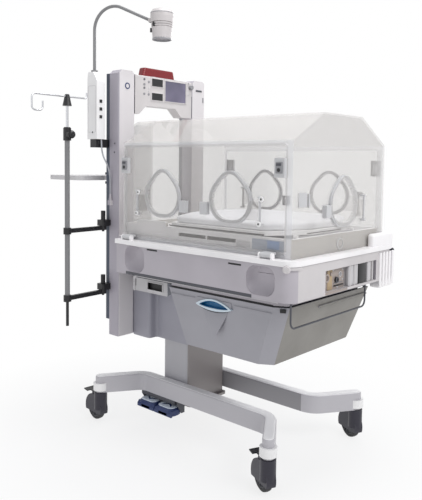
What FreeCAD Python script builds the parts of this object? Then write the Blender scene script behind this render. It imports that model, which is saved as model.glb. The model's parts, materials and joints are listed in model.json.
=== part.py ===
"""Infant incubator on a height-adjustable wheeled base.

X runs from the head end to the foot end, Y from the front side to the rear side, Z up.
Sizes are in millimetres. Formulas are written with the names of the size sheet.
"""
import FreeCAD, Part
import math
import os
import re
import Sketcher

SIZES = {
    # Fits
    "shaft_gap": 0.05,
    "running_gap": 0.4,
    "slide_gap": 1.0,
    # Casters
    "wheel_radius": 50,
    "wheel_width": 24,
    "wheel_trail": 30,
    "hub_radius": 15,
    "axle_radius": 5,
    "fork_wall": 4,
    "hood_radius": 55,
    "tread_gap": 2.5,
    "fork_head_radius": 26,
    "fork_top": 119,
    "stem_radius": 8,
    "stem_length": 36,
    "swivel_foot": 430,
    "swivel_head": 410,
    "swivel_side": 275,
    "turn_foot": 25,
    "turn_head": 5,
    "collar_radius": 28.5,
    "collar_bottom": 128,
    "collar_height": 30,
    "brake_pivot": 34,
    "brake_height": 110,
    "brake_barrel": 4,
    "brake_reach": 84,
    "brake_width": 50,
    # Base beams
    "beam_width": 40,
    "beam_bottom": 120,
    "beam_height": 68,
    "bend_foot": 330,
    "bend_head": 310,
    "bend_radius": 45,
    "beam_edge": 9,
    # Pedestal and lift
    "column_head": 222,
    "column_foot": 87,
    "column_side": 107,
    "column_bottom": 105,
    "column_wall": 6,
    "column_edge": 12,
    "sleeve_top": 600,
    "base_plate_height": 10,
    "base_plate_rim": 16,
    "post_bottom": 125,
    "post_wall": 6,
    "rod_radius": 12,
    "motor_radius": 30,
    "motor_top": 560,
    # Foot pedals
    "pedal_centre": 204,
    "pedal_width": 94,
    "pedal_cheek": 4,
    "pedal_pivot_side": 116,
    "pedal_pivot_height": 78,
    "pedal_reach": 60,
    "pedal_pin": 4,
    # Bed chassis
    "chassis_foot": 545,
    "chassis_head": 262,
    "chassis_side": 330,
    "chassis_bottom": 630,
    "chassis_top": 755,
    "lip_height": 16,
    "lip_step": 5,
    "chassis_corner": 40,
    "neck_side": 244,
    "scoop_depth": 34,
    "scoop_corner": 34,
    "window_head_side": 140,
    "window_rear_side": 195,
    "window_top": 708,
    "window_sill": 8,
    "window_depth": 30,
    # Uprights
    "upright_head": 396,
    "upright_foot": 340,
    "upright_inner": 163,
    "upright_bottom": 350,
    "upright_top": 1400,
    "upright_bevel": 14,
    "gland_head": 384,
    "gland_side": 250,
    "gland_top": 915,
    "gland_radius": 6,
    "rail_depth": 25,
    "rail_inset": 4,
    "rail_slot": 13,
    "rail_undercut": 28,
    # Control panel
    "panel_face": 342,
    "panel_top": 1390,
    "panel_bottom": 1235,
    "panel_arch": 1270,
    "panel_arch_front": 100,
    "panel_arch_rear": 62,
    "window_thick": 2,
    "alarm_front": 114,
    "alarm_rear": 66,
    "alarm_height": 35,
    "key_radius": 5,
    "key_height": 1.5,
    "knob_radius": 10,
    "knob_length": 14,
    "knob_side": 152,
    "knob_height": 1367,
    # Lower housing
    "housing_bottom": 345,
    "housing_foot": 70,
    "housing_side": 124,
    "housing_step": 245,
    "well_gap": 3,
    # Water reservoir
    "reservoir_front": 205,
    "reservoir_head": 300,
    "reservoir_foot": 100,
    "reservoir_top": 595,
    "reservoir_height": 55,
    "reservoir_fascia": 14,
    "tank_wall": 3,
    "tank_flange": 8,
    "dock_wall": 9,
    # Drawer
    "drawer_head": 5,
    "drawer_foot": 500,
    "drawer_front": 300,
    "drawer_rear": 216,
    "drawer_top": 606,
    "drawer_bottom": 405,
    "drawer_taper_head": 55,
    "drawer_taper_foot": 80,
    "drawer_taper_front": 35,
    "drawer_taper_rear": 8,
    "drawer_corner_long": 44,
    "drawer_corner_short": 27,
    "drawer_wall": 5,
    "drawer_fascia": 26,
    # Lips stop here, clear of a cover hanging from the lowered door
    "lip_front": 100,
    "frame_height": 20,
    "frame_step": 6,
    "runner_wall": 4,
    "runner_inset": 26,
    "runner_height": 36,
    "runner_foot": 14,
    "handle_head": 140,
    "handle_foot": 290,
    "handle_top": 592,
    "handle_height": 27,
    "handle_tip": 470,
    "handle_depth": 18,
    # Deck and bed
    "deck_head": 250,
    "deck_foot": 504,
    "deck_side": 280,
    "deck_top": 798,
    "deck_wall": 12,
    "deck_corner": 24,
    "vent_head": 30,
    "vent_foot": 290,
    "tilt_head": 90,
    "tilt_foot": 450,
    "tilt_pin": 4,
    "lug_radius": 6.5,
    "tilt_bar_height": 10,
    "tilt_bar_side": 150,
    "tilt_bar_width": 20,
    "tray_head": 110,
    "tray_foot": 470,
    "tray_side": 260,
    "tray_corner_long": 80,
    "tray_corner_wide": 150,
    "tray_height": 13,
    "mattress_height": 29,
    "mattress_inset": 6,
    "mattress_edge": 10,
    # Hood
    "hood_side": 289,
    "hood_head": 257,
    "hood_foot": 512,
    "hood_wall": 5,
    "hood_eaves": 1112,
    "hood_ridge": 1205,
    "hood_ridge_side": 121,
    "hood_neck_side": 150,
    "hood_neck_head": 369,
    # Side doors
    "door_head": 250,
    "door_foot": 493,
    "door_bottom": 767,
    "door_top": 1103,
    "door_thick": 5,
    "door_lap": 8,
    "door_gap": 0.4,
    "door_hinge_side": 318,
    "door_hinge_height": 766,
    "door_barrel": 8,
    "door_pin": 3,
    "door_hinge_length": 40,
    "door_hinge_head": 200,
    "door_hinge_foot": 440,
    "door_ear": 6,
    # Portholes
    "port_head": -34,
    "port_foot": 278,
    "port_height": 933,
    "port_spread": 14,
    "port_drop": 11,
    "port_rise": 30,
    "port_corner": 74,
    "port_crown": 55,
    "port_flank": 300,
    "port_ring": 12,
    "port_ring_height": 8,
    "port_lid_inset": 3,
    "port_lid": 4,
    "port_pin": 3,
    "port_barrel": 6,
    "port_pin_length": 90,
    "port_lug": 6,
    "port_keeper": 30,
    # Door latches
    "latch_width": 37,
    "latch_low": 1000,
    "latch_length": 58,
    "latch_height": 12,
    "latch_button": 23,
    "latch_travel": 3,
    # Examination lamp
    "lamp_box_foot": 391,
    "lamp_box_width": 63,
    "lamp_box_front": 310,
    "lamp_box_rear": 271,
    "lamp_box_bottom": 1129,
    "lamp_box_shoulder": 1352,
    "lamp_box_top": 1388,
    "neck_y": 292,
    "neck_radius": 6,
    "neck_stem": 8,
    "neck_rise": 294,
    "neck_reach": 250,
    "neck_drop": 114,
    "neck_bend": 85,
    "neck_turn": 18.3,
    "lamp_pin": 3,
    "lamp_barrel": 9,
    "lamp_top_radius": 43,
    "lamp_face_radius": 35,
    "lamp_length": 108,
    # Accessory pole
    "pole_pivot_x": 408,
    "pole_pivot_y": 266,
    "pole_x": 400,
    "pole_y": 440,
    "pole_radius": 9.5,
    "pole_bottom": 420,
    "pole_tip_top": 520,
    "pole_top": 1160,
    "pole_rod": 5,
    "pole_rod_bottom": 700,
    "pole_rod_top": 1290,
    "pole_arm_height": 16,
    "pole_hub": 13,
    "pole_pin": 5,
    "arm_upper": 772,
    "arm_lower": 517,
    "hook_height": 1280,
    "hook_radius": 3.2,
    # Side shelf
    "shelf_pivot_x": 443,
    "shelf_pivot_y": 203,
    "shelf_head": 680,
    "shelf_foot": 464,
    "shelf_front": 340,
    "shelf_rear": 60,
    "shelf_top": 985,
    "shelf_thick": 18,
    "shelf_corner": 28,
    "shelf_boss": 15,
    "shelf_pin": 6,
    # Wire bail
    "bail_x": 525,
    "bail_front": 305,
    "bail_rear": 145,
    "bail_bottom": 551,
    "bail_radius": 3,
    "bail_bend": 22,
    # Lamp cord
    "cord_radius": 3,
}

DERIVED = {
    "beam_centre": "column_side + beam_width / 2",
    "beam_top": "beam_bottom + beam_height",
    "beam_splay": "swivel_side - beam_centre",
    "foot_run": "swivel_foot - bend_foot",
    "head_run": "swivel_head - bend_head",
    "foot_leg": "sqrt(foot_run * foot_run + beam_splay * beam_splay)",
    "head_leg": "sqrt(head_run * head_run + beam_splay * beam_splay)",
    "fork_width": "wheel_width / 2 + slide_gap + fork_wall",
    "post_head": "column_head - column_wall - slide_gap",
    "post_foot": "column_foot + column_wall + slide_gap",
    "post_side": "column_side - column_wall - slide_gap",
    "column_middle": "-(column_head + column_foot) / 2",
    "body_side": "chassis_side - lip_step",
    "lip_bottom": "chassis_top - lip_height",
    "frame_bottom": "chassis_bottom - frame_height",
    "tray_top": "tray_bottom + tray_height",
    "door_inner": "hood_side + door_gap",
    "door_outer": "door_inner + door_thick",
    "ring_outer": "door_outer + port_ring_height",
    "lid_inner": "ring_outer + running_gap",
    "lid_outer": "lid_inner + port_lid",
    "rail_head": "upright_head + rail_depth",
    "panel_back": "upright_head - 6",
    "lamp_joint_x": "neck_reach",
    "lamp_joint_z": "neck_rise - neck_drop",
    "tilt_height": "deck_top + 7",
    "tilt_bar_low": "deck_top + 3",
    "deck_rim": "deck_top + 16",
    "tray_bottom": "deck_rim + 1",
    "vent_low": "deck_top - 12",
    "port_pin_low": "port_height - 83",
    "port_hinge": "port_spread + port_corner + 37",
    "lamp_box_head": "lamp_box_foot + lamp_box_width",
    "neck_x": "lamp_box_head - 24",
    "runner_ledge": "frame_bottom - runner_height + runner_wall",
    "runner_inner_head": "drawer_head + drawer_wall + runner_inset",
    "runner_inner_foot": "drawer_foot - drawer_wall - runner_inset - 4",
    "tank_head": "housing_step - dock_wall",
}

document = FreeCAD.newDocument("Incubator")
sheet = document.addObject("Spreadsheet::Sheet", "Sizes")
for row, (size_name, size_value) in enumerate(SIZES.items(), start=1):
    sheet.set(f"A{row}", size_name)
    sheet.set(f"B{row}", str(size_value))
    sheet.setAlias(f"B{row}", size_name)
document.recompute()

nodes = {}


def formula(text):
    """Spell the size names in a formula as cells of the sheet."""
    def spell(match):
        word = match.group()
        if word in DERIVED:
            return "(" + formula(DERIVED[word]) + ")"
        return "Sizes." + word if word in SIZES else word
    return re.sub(r"[a-z][a-z_0-9]*", spell, str(text))


def number(text):
    return float(sheet.evalExpression(formula(text)))


def place(item, x=0, y=0, z=0, axis=None, turn=0):
    """Put an item at a point, turned about one axis by a number of degrees."""
    if axis:
        item.Placement.Rotation = FreeCAD.Rotation(FreeCAD.Vector(*axis), 0)
        item.setExpression("Placement.Rotation.Angle", formula(turn))
        item.Placement.Rotation.Axis = FreeCAD.Vector(*axis)
    for letter, text in zip("xyz", (x, y, z)):
        item.setExpression("Placement.Base." + letter, formula(text))
    return item


def box(x, y, z):
    """Block between two formulas on each axis."""
    block = document.addObject("Part::Box", "Block")
    for side, (low, high) in zip(("Length", "Width", "Height"), (x, y, z)):
        block.setExpression(side, formula(f"({high}) - ({low})"))
    return place(block, x[0], y[0], z[0])


TURNED = {"x": ((0, 1, 0), 90), "y": ((1, 0, 0), -90), "z": ((0, 0, 1), 0)}


def rod(axis, across, radius, low, high, small=None):
    """Cylinder, or cone with a second radius at its high end, along one axis."""
    kind = "Part::Cylinder" if small is None else "Part::Cone"
    item = document.addObject(kind, "Rod")
    item.setExpression("Height", formula(f"({high}) - ({low})"))
    if small is None:
        item.setExpression("Radius", formula(radius))
    else:
        item.setExpression("Radius1", formula(radius))
        item.setExpression("Radius2", formula(small))
    spot = dict(zip([letter for letter in "xyz" if letter != axis], across))
    spot[axis] = low
    direction, angle = TURNED[axis]
    item.Placement.Rotation = FreeCAD.Rotation(FreeCAD.Vector(*direction), angle)
    return place(item, **spot)


def fuse(*parts):
    joined = document.addObject("Part::MultiFuse", "Joined")
    joined.Shapes = list(parts)
    joined.Refine = True
    return joined


def cut(base, *tools):
    for tool in tools:
        result = document.addObject("Part::Cut", "Trimmed")
        result.Base = base
        result.Tool = tool
        base = result
    return base


def group(*parts):
    together = document.addObject("Part::Compound", "Group")
    together.Links = list(parts)
    return together


def soften(item, radius_of, kind="Part::Fillet"):
    """Round, or bevel, each edge for which radius_of gives a formula."""
    document.recompute()
    eased = document.addObject(kind, "Eased")
    eased.Base = item
    chosen = []
    for index, edge in enumerate(item.Shape.Edges, start=1):
        text = radius_of(edge)
        if text:
            chosen.append((index, number(text), number(text)))
    eased.Edges = chosen
    return eased


def runs_along(edge, axis):
    """True when a straight edge lies along the named axis."""
    if edge.Curve.TypeId != "Part::GeomLine":
        return False
    direction = edge.Curve.Direction
    return abs(abs(getattr(direction, axis)) - 1) < 1e-6


def plane_of(body, role):
    return next(item for item in body.Origin.OriginFeatures if item.Role == role)


def outline(body, plane, corners):
    """Closed sketch of straight sides whose corners follow formulas."""
    drawing = body.newObject("Sketcher::SketchObject", "Outline")
    drawing.AttachmentSupport = [(plane_of(body, plane), "")]
    drawing.MapMode = "FlatFace"
    points = [FreeCAD.Vector(number(a), number(b), 0) for a, b in corners]
    count = len(points)
    for index, point in enumerate(points):
        drawing.addGeometry(Part.LineSegment(point, points[(index + 1) % count]), False)
    for index in range(count):
        drawing.addConstraint(Sketcher.Constraint("Coincident", index, 2, (index + 1) % count, 1))
    for index, corner in enumerate(corners):
        for axis, text in zip("XY", corner):
            value = getattr(points[index], axis.lower())
            rule = Sketcher.Constraint("Distance" + axis, -1, 1, index, 1, value)
            name = f"corner{index}{axis}"
            drawing.renameConstraint(drawing.addConstraint(rule), name)
            drawing.setExpression("Constraints." + name, formula(text))
    return drawing


def prism(plane, corners, low, high):
    """Padded outline between two levels along the plane's own axis."""
    body = document.addObject("PartDesign::Body", "Body")
    drawing = outline(body, plane, corners)
    start = f"-({high})" if plane == "XZ_Plane" else low
    drawing.setExpression("AttachmentOffset.Base.z", formula(start))
    pad = body.newObject("PartDesign::Pad", "Pad")
    pad.Profile = drawing
    pad.setExpression("Length", formula(f"({high}) - ({low})"))
    drawing.Visibility = False
    return body


def turned(corners):
    """Outline of radius and height pairs, revolved about the vertical axis."""
    body = document.addObject("PartDesign::Body", "Body")
    drawing = outline(body, "XZ_Plane", corners)
    turn = body.newObject("PartDesign::Revolution", "Turn")
    turn.Profile = drawing
    turn.ReferenceAxis = (drawing, ["V_Axis"])
    turn.Angle = 360
    return body


def bent_wire(points, radius_of):
    """Wire of straight runs joined by tangent arcs at the inner points."""
    points = [FreeCAD.Vector(*point) for point in points]
    edges = []
    start = points[0]
    for index in range(1, len(points) - 1):
        corner = points[index]
        back = (points[index - 1] - corner).normalize()
        ahead = (points[index + 1] - corner).normalize()
        half = back.getAngle(ahead) / 2
        radius = radius_of(index)
        entry = corner + back * (radius / math.tan(half))
        leave = corner + ahead * (radius / math.tan(half))
        middle = (back + ahead).normalize()
        centre = corner + middle * (radius / math.sin(half))
        edges.append(Part.LineSegment(start, entry).toShape())
        edges.append(Part.Arc(entry, centre - middle * radius, leave).toShape())
        start = leave
    edges.append(Part.LineSegment(start, points[-1]).toShape())
    return Part.Wire(edges)


def bent_rod(points, radius, radius_of):
    """Round bar along a bent wire."""
    path = bent_wire(points, radius_of)
    first = FreeCAD.Vector(*points[0])
    direction = FreeCAD.Vector(*points[1]) - first
    section = Part.Wire([Part.makeCircle(radius, first, direction)])
    feature = document.addObject("Part::Feature", "Bent")
    feature.Shape = path.makePipeShell([section], True, False, 2)
    return feature


def side_span(side, near, far):
    """Two distances from the middle plane, as low and high on the given side."""
    if side > 0:
        return (near, far)
    return (f"-({far})", f"-({near})")


def keep(name, item):
    """Store a finished sub-part under the name of its file."""
    item.Label = name
    nodes[name] = item
    return item


# Base


def base_beam(name, side):
    """Rectangular tube, straight along the base and splayed outwards at both ends."""
    half = "beam_width / 2"
    foot_lean = "beam_splay / (foot_leg + foot_run)"
    head_lean = "beam_splay / (head_leg + head_run)"
    inner = [
        (f"-(bend_head + {half} * {head_lean})", f"beam_centre - {half}"),
        (f"bend_foot + {half} * {foot_lean}", f"beam_centre - {half}"),
        (f"swivel_foot + {half} * beam_splay / foot_leg", f"swivel_side - {half} * foot_run / foot_leg"),
    ]
    outer = [
        (f"swivel_foot - {half} * beam_splay / foot_leg", f"swivel_side + {half} * foot_run / foot_leg"),
        (f"bend_foot - {half} * {foot_lean}", f"beam_centre + {half}"),
        (f"-(bend_head - {half} * {head_lean})", f"beam_centre + {half}"),
        (f"-(swivel_head - {half} * beam_splay / head_leg)", f"swivel_side + {half} * head_run / head_leg"),
        (f"-(swivel_head + {half} * beam_splay / head_leg)", f"swivel_side - {half} * head_run / head_leg"),
    ]
    corners = [(x, f"{side} * ({y})") for x, y in inner + outer]
    bar = prism("XY_Plane", corners, "beam_bottom", "beam_top")

    def bend_size(edge):
        spot = edge.CenterOfMass
        if not runs_along(edge, "z") or abs(spot.y) > number("beam_centre + beam_width"):
            return None
        outside = abs(spot.y) > number("beam_centre")
        return "bend_radius" if outside else "bend_radius + beam_width"

    bar = soften(bar, bend_size)
    ends = [rod("z", (x, f"{side} * swivel_side"), half, "beam_bottom", "beam_top")
            for x in ("swivel_foot", "-swivel_head")]
    bar = fuse(bar, *ends)

    def long_edge(edge):
        level = edge.CenterOfMass.z
        flat = edge.BoundBox.ZLength < 1e-6
        return "beam_edge" if flat and level > number("beam_top") - 1e-3 else None

    bar = soften(bar, long_edge)
    holes = [rod("z", (x, f"{side} * swivel_side"), "stem_radius + shaft_gap",
                 "beam_bottom - 1", "fork_top + stem_length + slide_gap")
             for x in ("swivel_foot", "-swivel_head")]
    return keep(name, cut(bar, *holes))


def caster_sockets():
    """Moulded collars round the four beam ends."""
    rings = []
    for side, beam in ((-1, "base_beam_front"), (1, "base_beam_rear")):
        for x in ("swivel_foot", "-swivel_head"):
            collar = rod("z", (x, f"{side} * swivel_side"), "collar_radius",
                         "collar_bottom", "collar_bottom + collar_height")
            rings.append(cut(collar, nodes[beam],
                             rod("z", (x, f"{side} * swivel_side"), "beam_width / 2 - 1",
                                 "collar_bottom - 1", "collar_bottom + collar_height + 1")))
    return keep("caster_sockets", group(*rings))


def lift_sleeve():
    """Rectangular pedestal tube between the beams, open at the top."""
    shell = box(("-column_head", "-column_foot"), ("-column_side", "column_side"),
                ("column_bottom", "sleeve_top"))
    shell = soften(shell, lambda edge: "column_edge" if runs_along(edge, "z") else None)
    bore = box(("-(column_head - column_wall)", "-(column_foot + column_wall)"),
               ("-(column_side - column_wall)", "column_side - column_wall"),
               ("column_bottom - 1", "sleeve_top + 1"))
    return keep("lift_sleeve", cut(shell, bore))


def base_plate():
    """Foot flange that closes the pedestal from below."""
    plate = box(("-(column_head + base_plate_rim)", "-(column_foot - base_plate_rim)"),
                ("-column_side", "column_side"),
                ("column_bottom - base_plate_height", "column_bottom"))
    plate = soften(plate, lambda edge: "column_edge" if runs_along(edge, "z") else None)
    return keep("base_plate", plate)


def lift_actuator():
    """Electric column inside the pedestal, standing on the base plate."""
    middle = ("column_middle", "0")
    body = rod("z", middle, "motor_radius", "column_bottom", "motor_top")
    foot = rod("z", middle, "motor_radius + 14", "column_bottom", "column_bottom + 12")
    bore = rod("z", middle, "rod_radius + shaft_gap", "post_bottom", "motor_top + 1")
    return keep("lift_actuator", cut(fuse(body, foot), bore))


def pedal_bracket():
    """Hanger under the front beam with three cheeks and the pedal pin."""
    reach = "pedal_width + 2 * pedal_cheek"
    low = "-(column_side + beam_width)"
    top = box((f"-(pedal_centre + {reach})", f"-(pedal_centre - {reach})"), (low, "-column_side"),
              ("column_bottom", "beam_bottom"))
    cheeks = []
    for offset in ("0", "pedal_width + 1.5 * pedal_cheek", "-(pedal_width + 1.5 * pedal_cheek)"):
        middle = f"-pedal_centre + {offset}"
        sides = [("-column_side", "beam_bottom - 2"), ("-column_side", "pedal_pivot_height - 8"),
                 ("-(pedal_pivot_side + 8)", "pedal_pivot_height - 8"),
                 (low, "column_bottom + 1"), (low, "beam_bottom - 2")]
        cheeks.append(prism("YZ_Plane", sides, f"{middle} - pedal_cheek / 2", f"{middle} + pedal_cheek / 2"))
    pin = rod("x", ("-pedal_pivot_side", "pedal_pivot_height"), "pedal_pin",
              f"-(pedal_centre + {reach})", f"-(pedal_centre - {reach})")
    return keep("pedal_bracket", fuse(top, pin, *cheeks))


def pedal(name, side):
    """Foot pedal that turns down about the hanger's pin."""
    gap = "(pedal_cheek / 2 + running_gap)"
    if side < 0:
        x = (f"-(pedal_centre + {gap} + pedal_width)", f"-(pedal_centre + {gap})")
    else:
        x = (f"-(pedal_centre - {gap})", f"-(pedal_centre - {gap} - pedal_width)")
    pivot = ("-pedal_pivot_side", "pedal_pivot_height")
    barrel = rod("x", pivot, "pedal_pin + 4", *x)
    plate = prism("YZ_Plane", [
        ("-pedal_pivot_side", "pedal_pivot_height + 8"),
        ("-(pedal_pivot_side + pedal_reach - 8)", "pedal_pivot_height + 8"),
        ("-(pedal_pivot_side + pedal_reach)", "pedal_pivot_height - 2"),
        ("-(pedal_pivot_side + pedal_reach)", "pedal_pivot_height - 14"),
        ("-(pedal_pivot_side + pedal_reach - 8)", "pedal_pivot_height - 14"),
        ("-(pedal_pivot_side + pedal_reach - 8)", "pedal_pivot_height - 2"),
        ("-pedal_pivot_side", "pedal_pivot_height - 4")], *x)
    bore = rod("x", pivot, "pedal_pin + shaft_gap", f"{x[0]} - 1", f"{x[1]} + 1")
    return keep(name, cut(fuse(barrel, plate), bore))


# Casters, made round their swivel axis with the wheel trailing towards -X


def caster_spot(corner):
    """Place and turn of one caster."""
    end, side = corner
    x = "swivel_foot" if end == "foot" else "-swivel_head"
    y = "swivel_side" if side == "rear" else "-swivel_side"
    return {"x": x, "y": y, "axis": (0, 0, 1), "turn": f"-turn_{end}"}


def caster_fork(corner, braked):
    """Hooded fork with its stem, wheel axle and, on a braked caster, two ears."""
    axle = ("-wheel_trail", "wheel_radius")
    shell = rod("y", axle, "hood_radius", "-fork_width", "fork_width")
    below = box(("-(wheel_trail + 2 * hood_radius)", "hood_radius"), ("-2 * fork_width", "2 * fork_width"),
                ("wheel_radius - 2 * hood_radius", "wheel_radius - hub_radius - 3"))
    shell = cut(shell, below)
    head = rod("z", ("0", "0"), "fork_head_radius", "wheel_radius", "fork_top")
    stem = rod("z", ("0", "0"), "stem_radius", "fork_top - 1", "fork_top + stem_length")
    cavity = rod("y", axle, "wheel_radius + tread_gap", "-(wheel_width / 2 + slide_gap)",
                 "wheel_width / 2 + slide_gap")
    pin = rod("y", axle, "axle_radius", "-(fork_width - 1)", "fork_width - 1")
    fork = fuse(cut(fuse(shell, head), cavity), stem, pin)
    if braked:
        pivot = ("-brake_pivot", "brake_height")
        ears = []
        for side in (-1, 1):
            span = side_span(side, "wheel_width / 2 - 1", "fork_width - 2")
            ears.append(rod("y", pivot, "brake_barrel + 2", *span))
            ears.append(box(("-(brake_pivot + brake_barrel + 2)", "-(brake_pivot - brake_barrel - 2)"),
                            span, ("wheel_radius + wheel_radius + tread_gap + 1", "brake_height")))
        ears.append(rod("y", pivot, "brake_barrel - 1.5", "-(wheel_width / 2)", "wheel_width / 2"))
        fork = fuse(fork, *ears)
    return keep(f"caster_fork_{corner[1]}_{corner[0]}", place(fork, **caster_spot(corner)))


def wheel_section(half):
    """Section of the wheel, revolved about its own axle."""
    bore = "axle_radius + shaft_gap"
    return turned([
        (bore, f"-({half})"), ("hub_radius", f"-({half})"),
        ("hub_radius + 3", f"-({half} - 5)"), ("wheel_radius * 0.72", f"-({half} - 5)"),
        ("wheel_radius * 0.78", f"-({half})"), ("wheel_radius - 5", f"-({half})"),
        ("wheel_radius - 1", f"-({half} - 4)"), ("wheel_radius", "0"),
        ("wheel_radius - 1", f"{half} - 4"), ("wheel_radius - 5", half),
        ("wheel_radius * 0.78", half), ("wheel_radius * 0.72", f"{half} - 5"),
        ("hub_radius + 3", f"{half} - 5"), ("hub_radius", half), (bore, half)])


def caster_wheel(corner):
    """Wheel with a rounded tread and a dished hub, on the fork's axle."""
    half = "wheel_width / 2"
    rim = wheel_section(half)
    turn = place(rim, x="-wheel_trail", z="wheel_radius", axis=(1, 0, 0), turn="-90")
    holder = group(turn)
    return keep(f"caster_wheel_{corner[1]}_{corner[0]}", place(holder, **caster_spot(corner)))


def brake_lever(corner):
    """Foot lever over the wheel hood, hinged between the fork's ears."""
    pivot = ("-brake_pivot", "brake_height")
    neck = "wheel_width / 2 - 1 - running_gap"
    barrel = rod("y", pivot, "brake_barrel", f"-({neck})", neck)
    arm = box(("-(brake_pivot + 30)", "-brake_pivot"), (f"-({neck})", neck),
              ("brake_height", "brake_height + brake_barrel"))
    flap = prism("XZ_Plane", [
        ("-brake_reach", "brake_height + 7"), ("-brake_reach", "brake_height + 3"),
        ("-(brake_pivot + 26)", "brake_height"), ("-(brake_pivot + 24)", "brake_height + brake_barrel")],
        "-brake_width / 2", "brake_width / 2")
    bore = rod("y", pivot, "brake_barrel - 1.5 + shaft_gap", "-wheel_width", "wheel_width")
    lever = cut(fuse(barrel, arm, flap), bore)
    return keep(f"brake_lever_{corner[0]}", place(lever, **caster_spot(corner)))


# Lift carriage


def lift_post():
    """Inner telescopic tube with its cap and the actuator's rod."""
    tube = box(("-post_head", "-post_foot"), ("-post_side", "post_side"), ("post_bottom", "chassis_bottom"))
    hollow = box(("-(post_head - post_wall)", "-(post_foot + post_wall)"),
                 ("-(post_side - post_wall)", "post_side - post_wall"),
                 ("post_bottom - 1", "chassis_bottom - 2 * post_wall"))
    shaft = rod("z", ("column_middle", "0"), "rod_radius", "post_bottom + 25", "chassis_bottom - post_wall")
    return keep("lift_post", fuse(cut(tube, hollow), shaft))


def lower_housing():
    """Moulded housing under the bed, round the pedestal, with the reservoir's dock."""
    tail = box(("-upright_head", "-upright_foot"), ("-upright_inner", "upright_inner"),
               ("upright_bottom", "chassis_top"))
    wide = box(("-upright_foot", "-housing_step"), ("-upright_inner", "upright_inner"),
               ("housing_bottom", "chassis_bottom"))
    slim = box(("-housing_step", "-housing_foot"), ("-housing_side", "housing_side"),
               ("housing_bottom", "chassis_bottom"))

    def lower_edge(edge):
        spot = edge.CenterOfMass
        outer = abs(spot.y) > number("housing_side") - 1 and spot.x > -number("upright_foot") + 1
        return "column_edge" if runs_along(edge, "z") and outer else None

    shell = soften(fuse(wide, slim), lower_edge)
    well = box(("-(column_head + well_gap)", "-(column_foot - well_gap)"),
               ("-(column_side + well_gap)", "column_side + well_gap"),
               ("housing_bottom - 1", "chassis_bottom + 1"))
    roof = box(("-reservoir_head", "-(reservoir_foot - dock_wall)"),
               ("-(reservoir_front - 6)", "-housing_side"),
               ("reservoir_top + slide_gap", "chassis_bottom"))
    walls = []
    for low, high in (("-(tank_head + dock_wall + slide_gap)", "-(tank_head + slide_gap)"),
                      ("-(reservoir_foot - slide_gap)", "-(reservoir_foot - dock_wall)")):
        walls.append(box((low, high), ("-(reservoir_front - reservoir_fascia - slide_gap)", "-housing_side"),
                         ("reservoir_top - 30", "reservoir_top + slide_gap")))
    ledges = [
        box(("-(tank_head + slide_gap)", "-(tank_head - tank_flange + slide_gap)"),
            ("-(reservoir_front - reservoir_fascia - slide_gap)", "-housing_side"),
            ("reservoir_top - 26", "reservoir_top - 18")),
        box(("-(reservoir_foot + tank_flange - slide_gap)", "-(reservoir_foot - slide_gap)"),
            ("-(reservoir_front - reservoir_fascia - slide_gap)", "-housing_side"),
            ("reservoir_top - 26", "reservoir_top - 18"))]
    return keep("lower_housing", fuse(cut(shell, well), tail, roof, *walls, *ledges))


def reservoir():
    """Pull-out water tank with its fascia, hung on two flanges."""
    low = "reservoir_top - reservoir_height"
    fascia = box(("-reservoir_head", "-reservoir_foot"),
                 ("-reservoir_front", "-(reservoir_front - reservoir_fascia)"), (low, "reservoir_top"))

    def corner_edge(edge):
        spot = edge.CenterOfMass
        on_front = spot.y < -number("reservoir_front") + 1
        return "5" if runs_along(edge, "y") or (runs_along(edge, "z") and on_front) else None

    fascia = soften(fascia, corner_edge)
    tank_span = ("-(tank_head - tank_flange)", "-(reservoir_foot + tank_flange)")
    back = "-(housing_side + slide_gap)"
    tank = box(tank_span, ("-(reservoir_front - reservoir_fascia)", back),
               (f"{low} + 3", "reservoir_top - 6"))
    flanges = box(("-tank_head", "-reservoir_foot"), ("-(reservoir_front - reservoir_fascia)", back),
                  ("reservoir_top - 17", "reservoir_top - 13"))
    hollow = box((f"{tank_span[0]} + tank_wall", f"{tank_span[1]} - tank_wall"),
                 ("-(reservoir_front - reservoir_fascia - tank_wall)", f"{back} - tank_wall"),
                 (f"{low} + 3 + tank_wall", "reservoir_top"))
    grip = box(("-(reservoir_foot + 110)", "-(reservoir_foot + 30)"),
               ("-(reservoir_front + 1)", "-(reservoir_front - reservoir_fascia + 4)"),
               (f"{low} + 14", f"{low} + 40"))
    gauge = box(("-(reservoir_head - 8)", "-(reservoir_head - 22)"),
                ("-(reservoir_front + 1)", "-(reservoir_front - 5)"), (f"{low} + 18", f"{low} + 44"))
    return keep("reservoir", cut(fuse(fascia, tank, flanges), hollow, grip, gauge))


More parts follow.
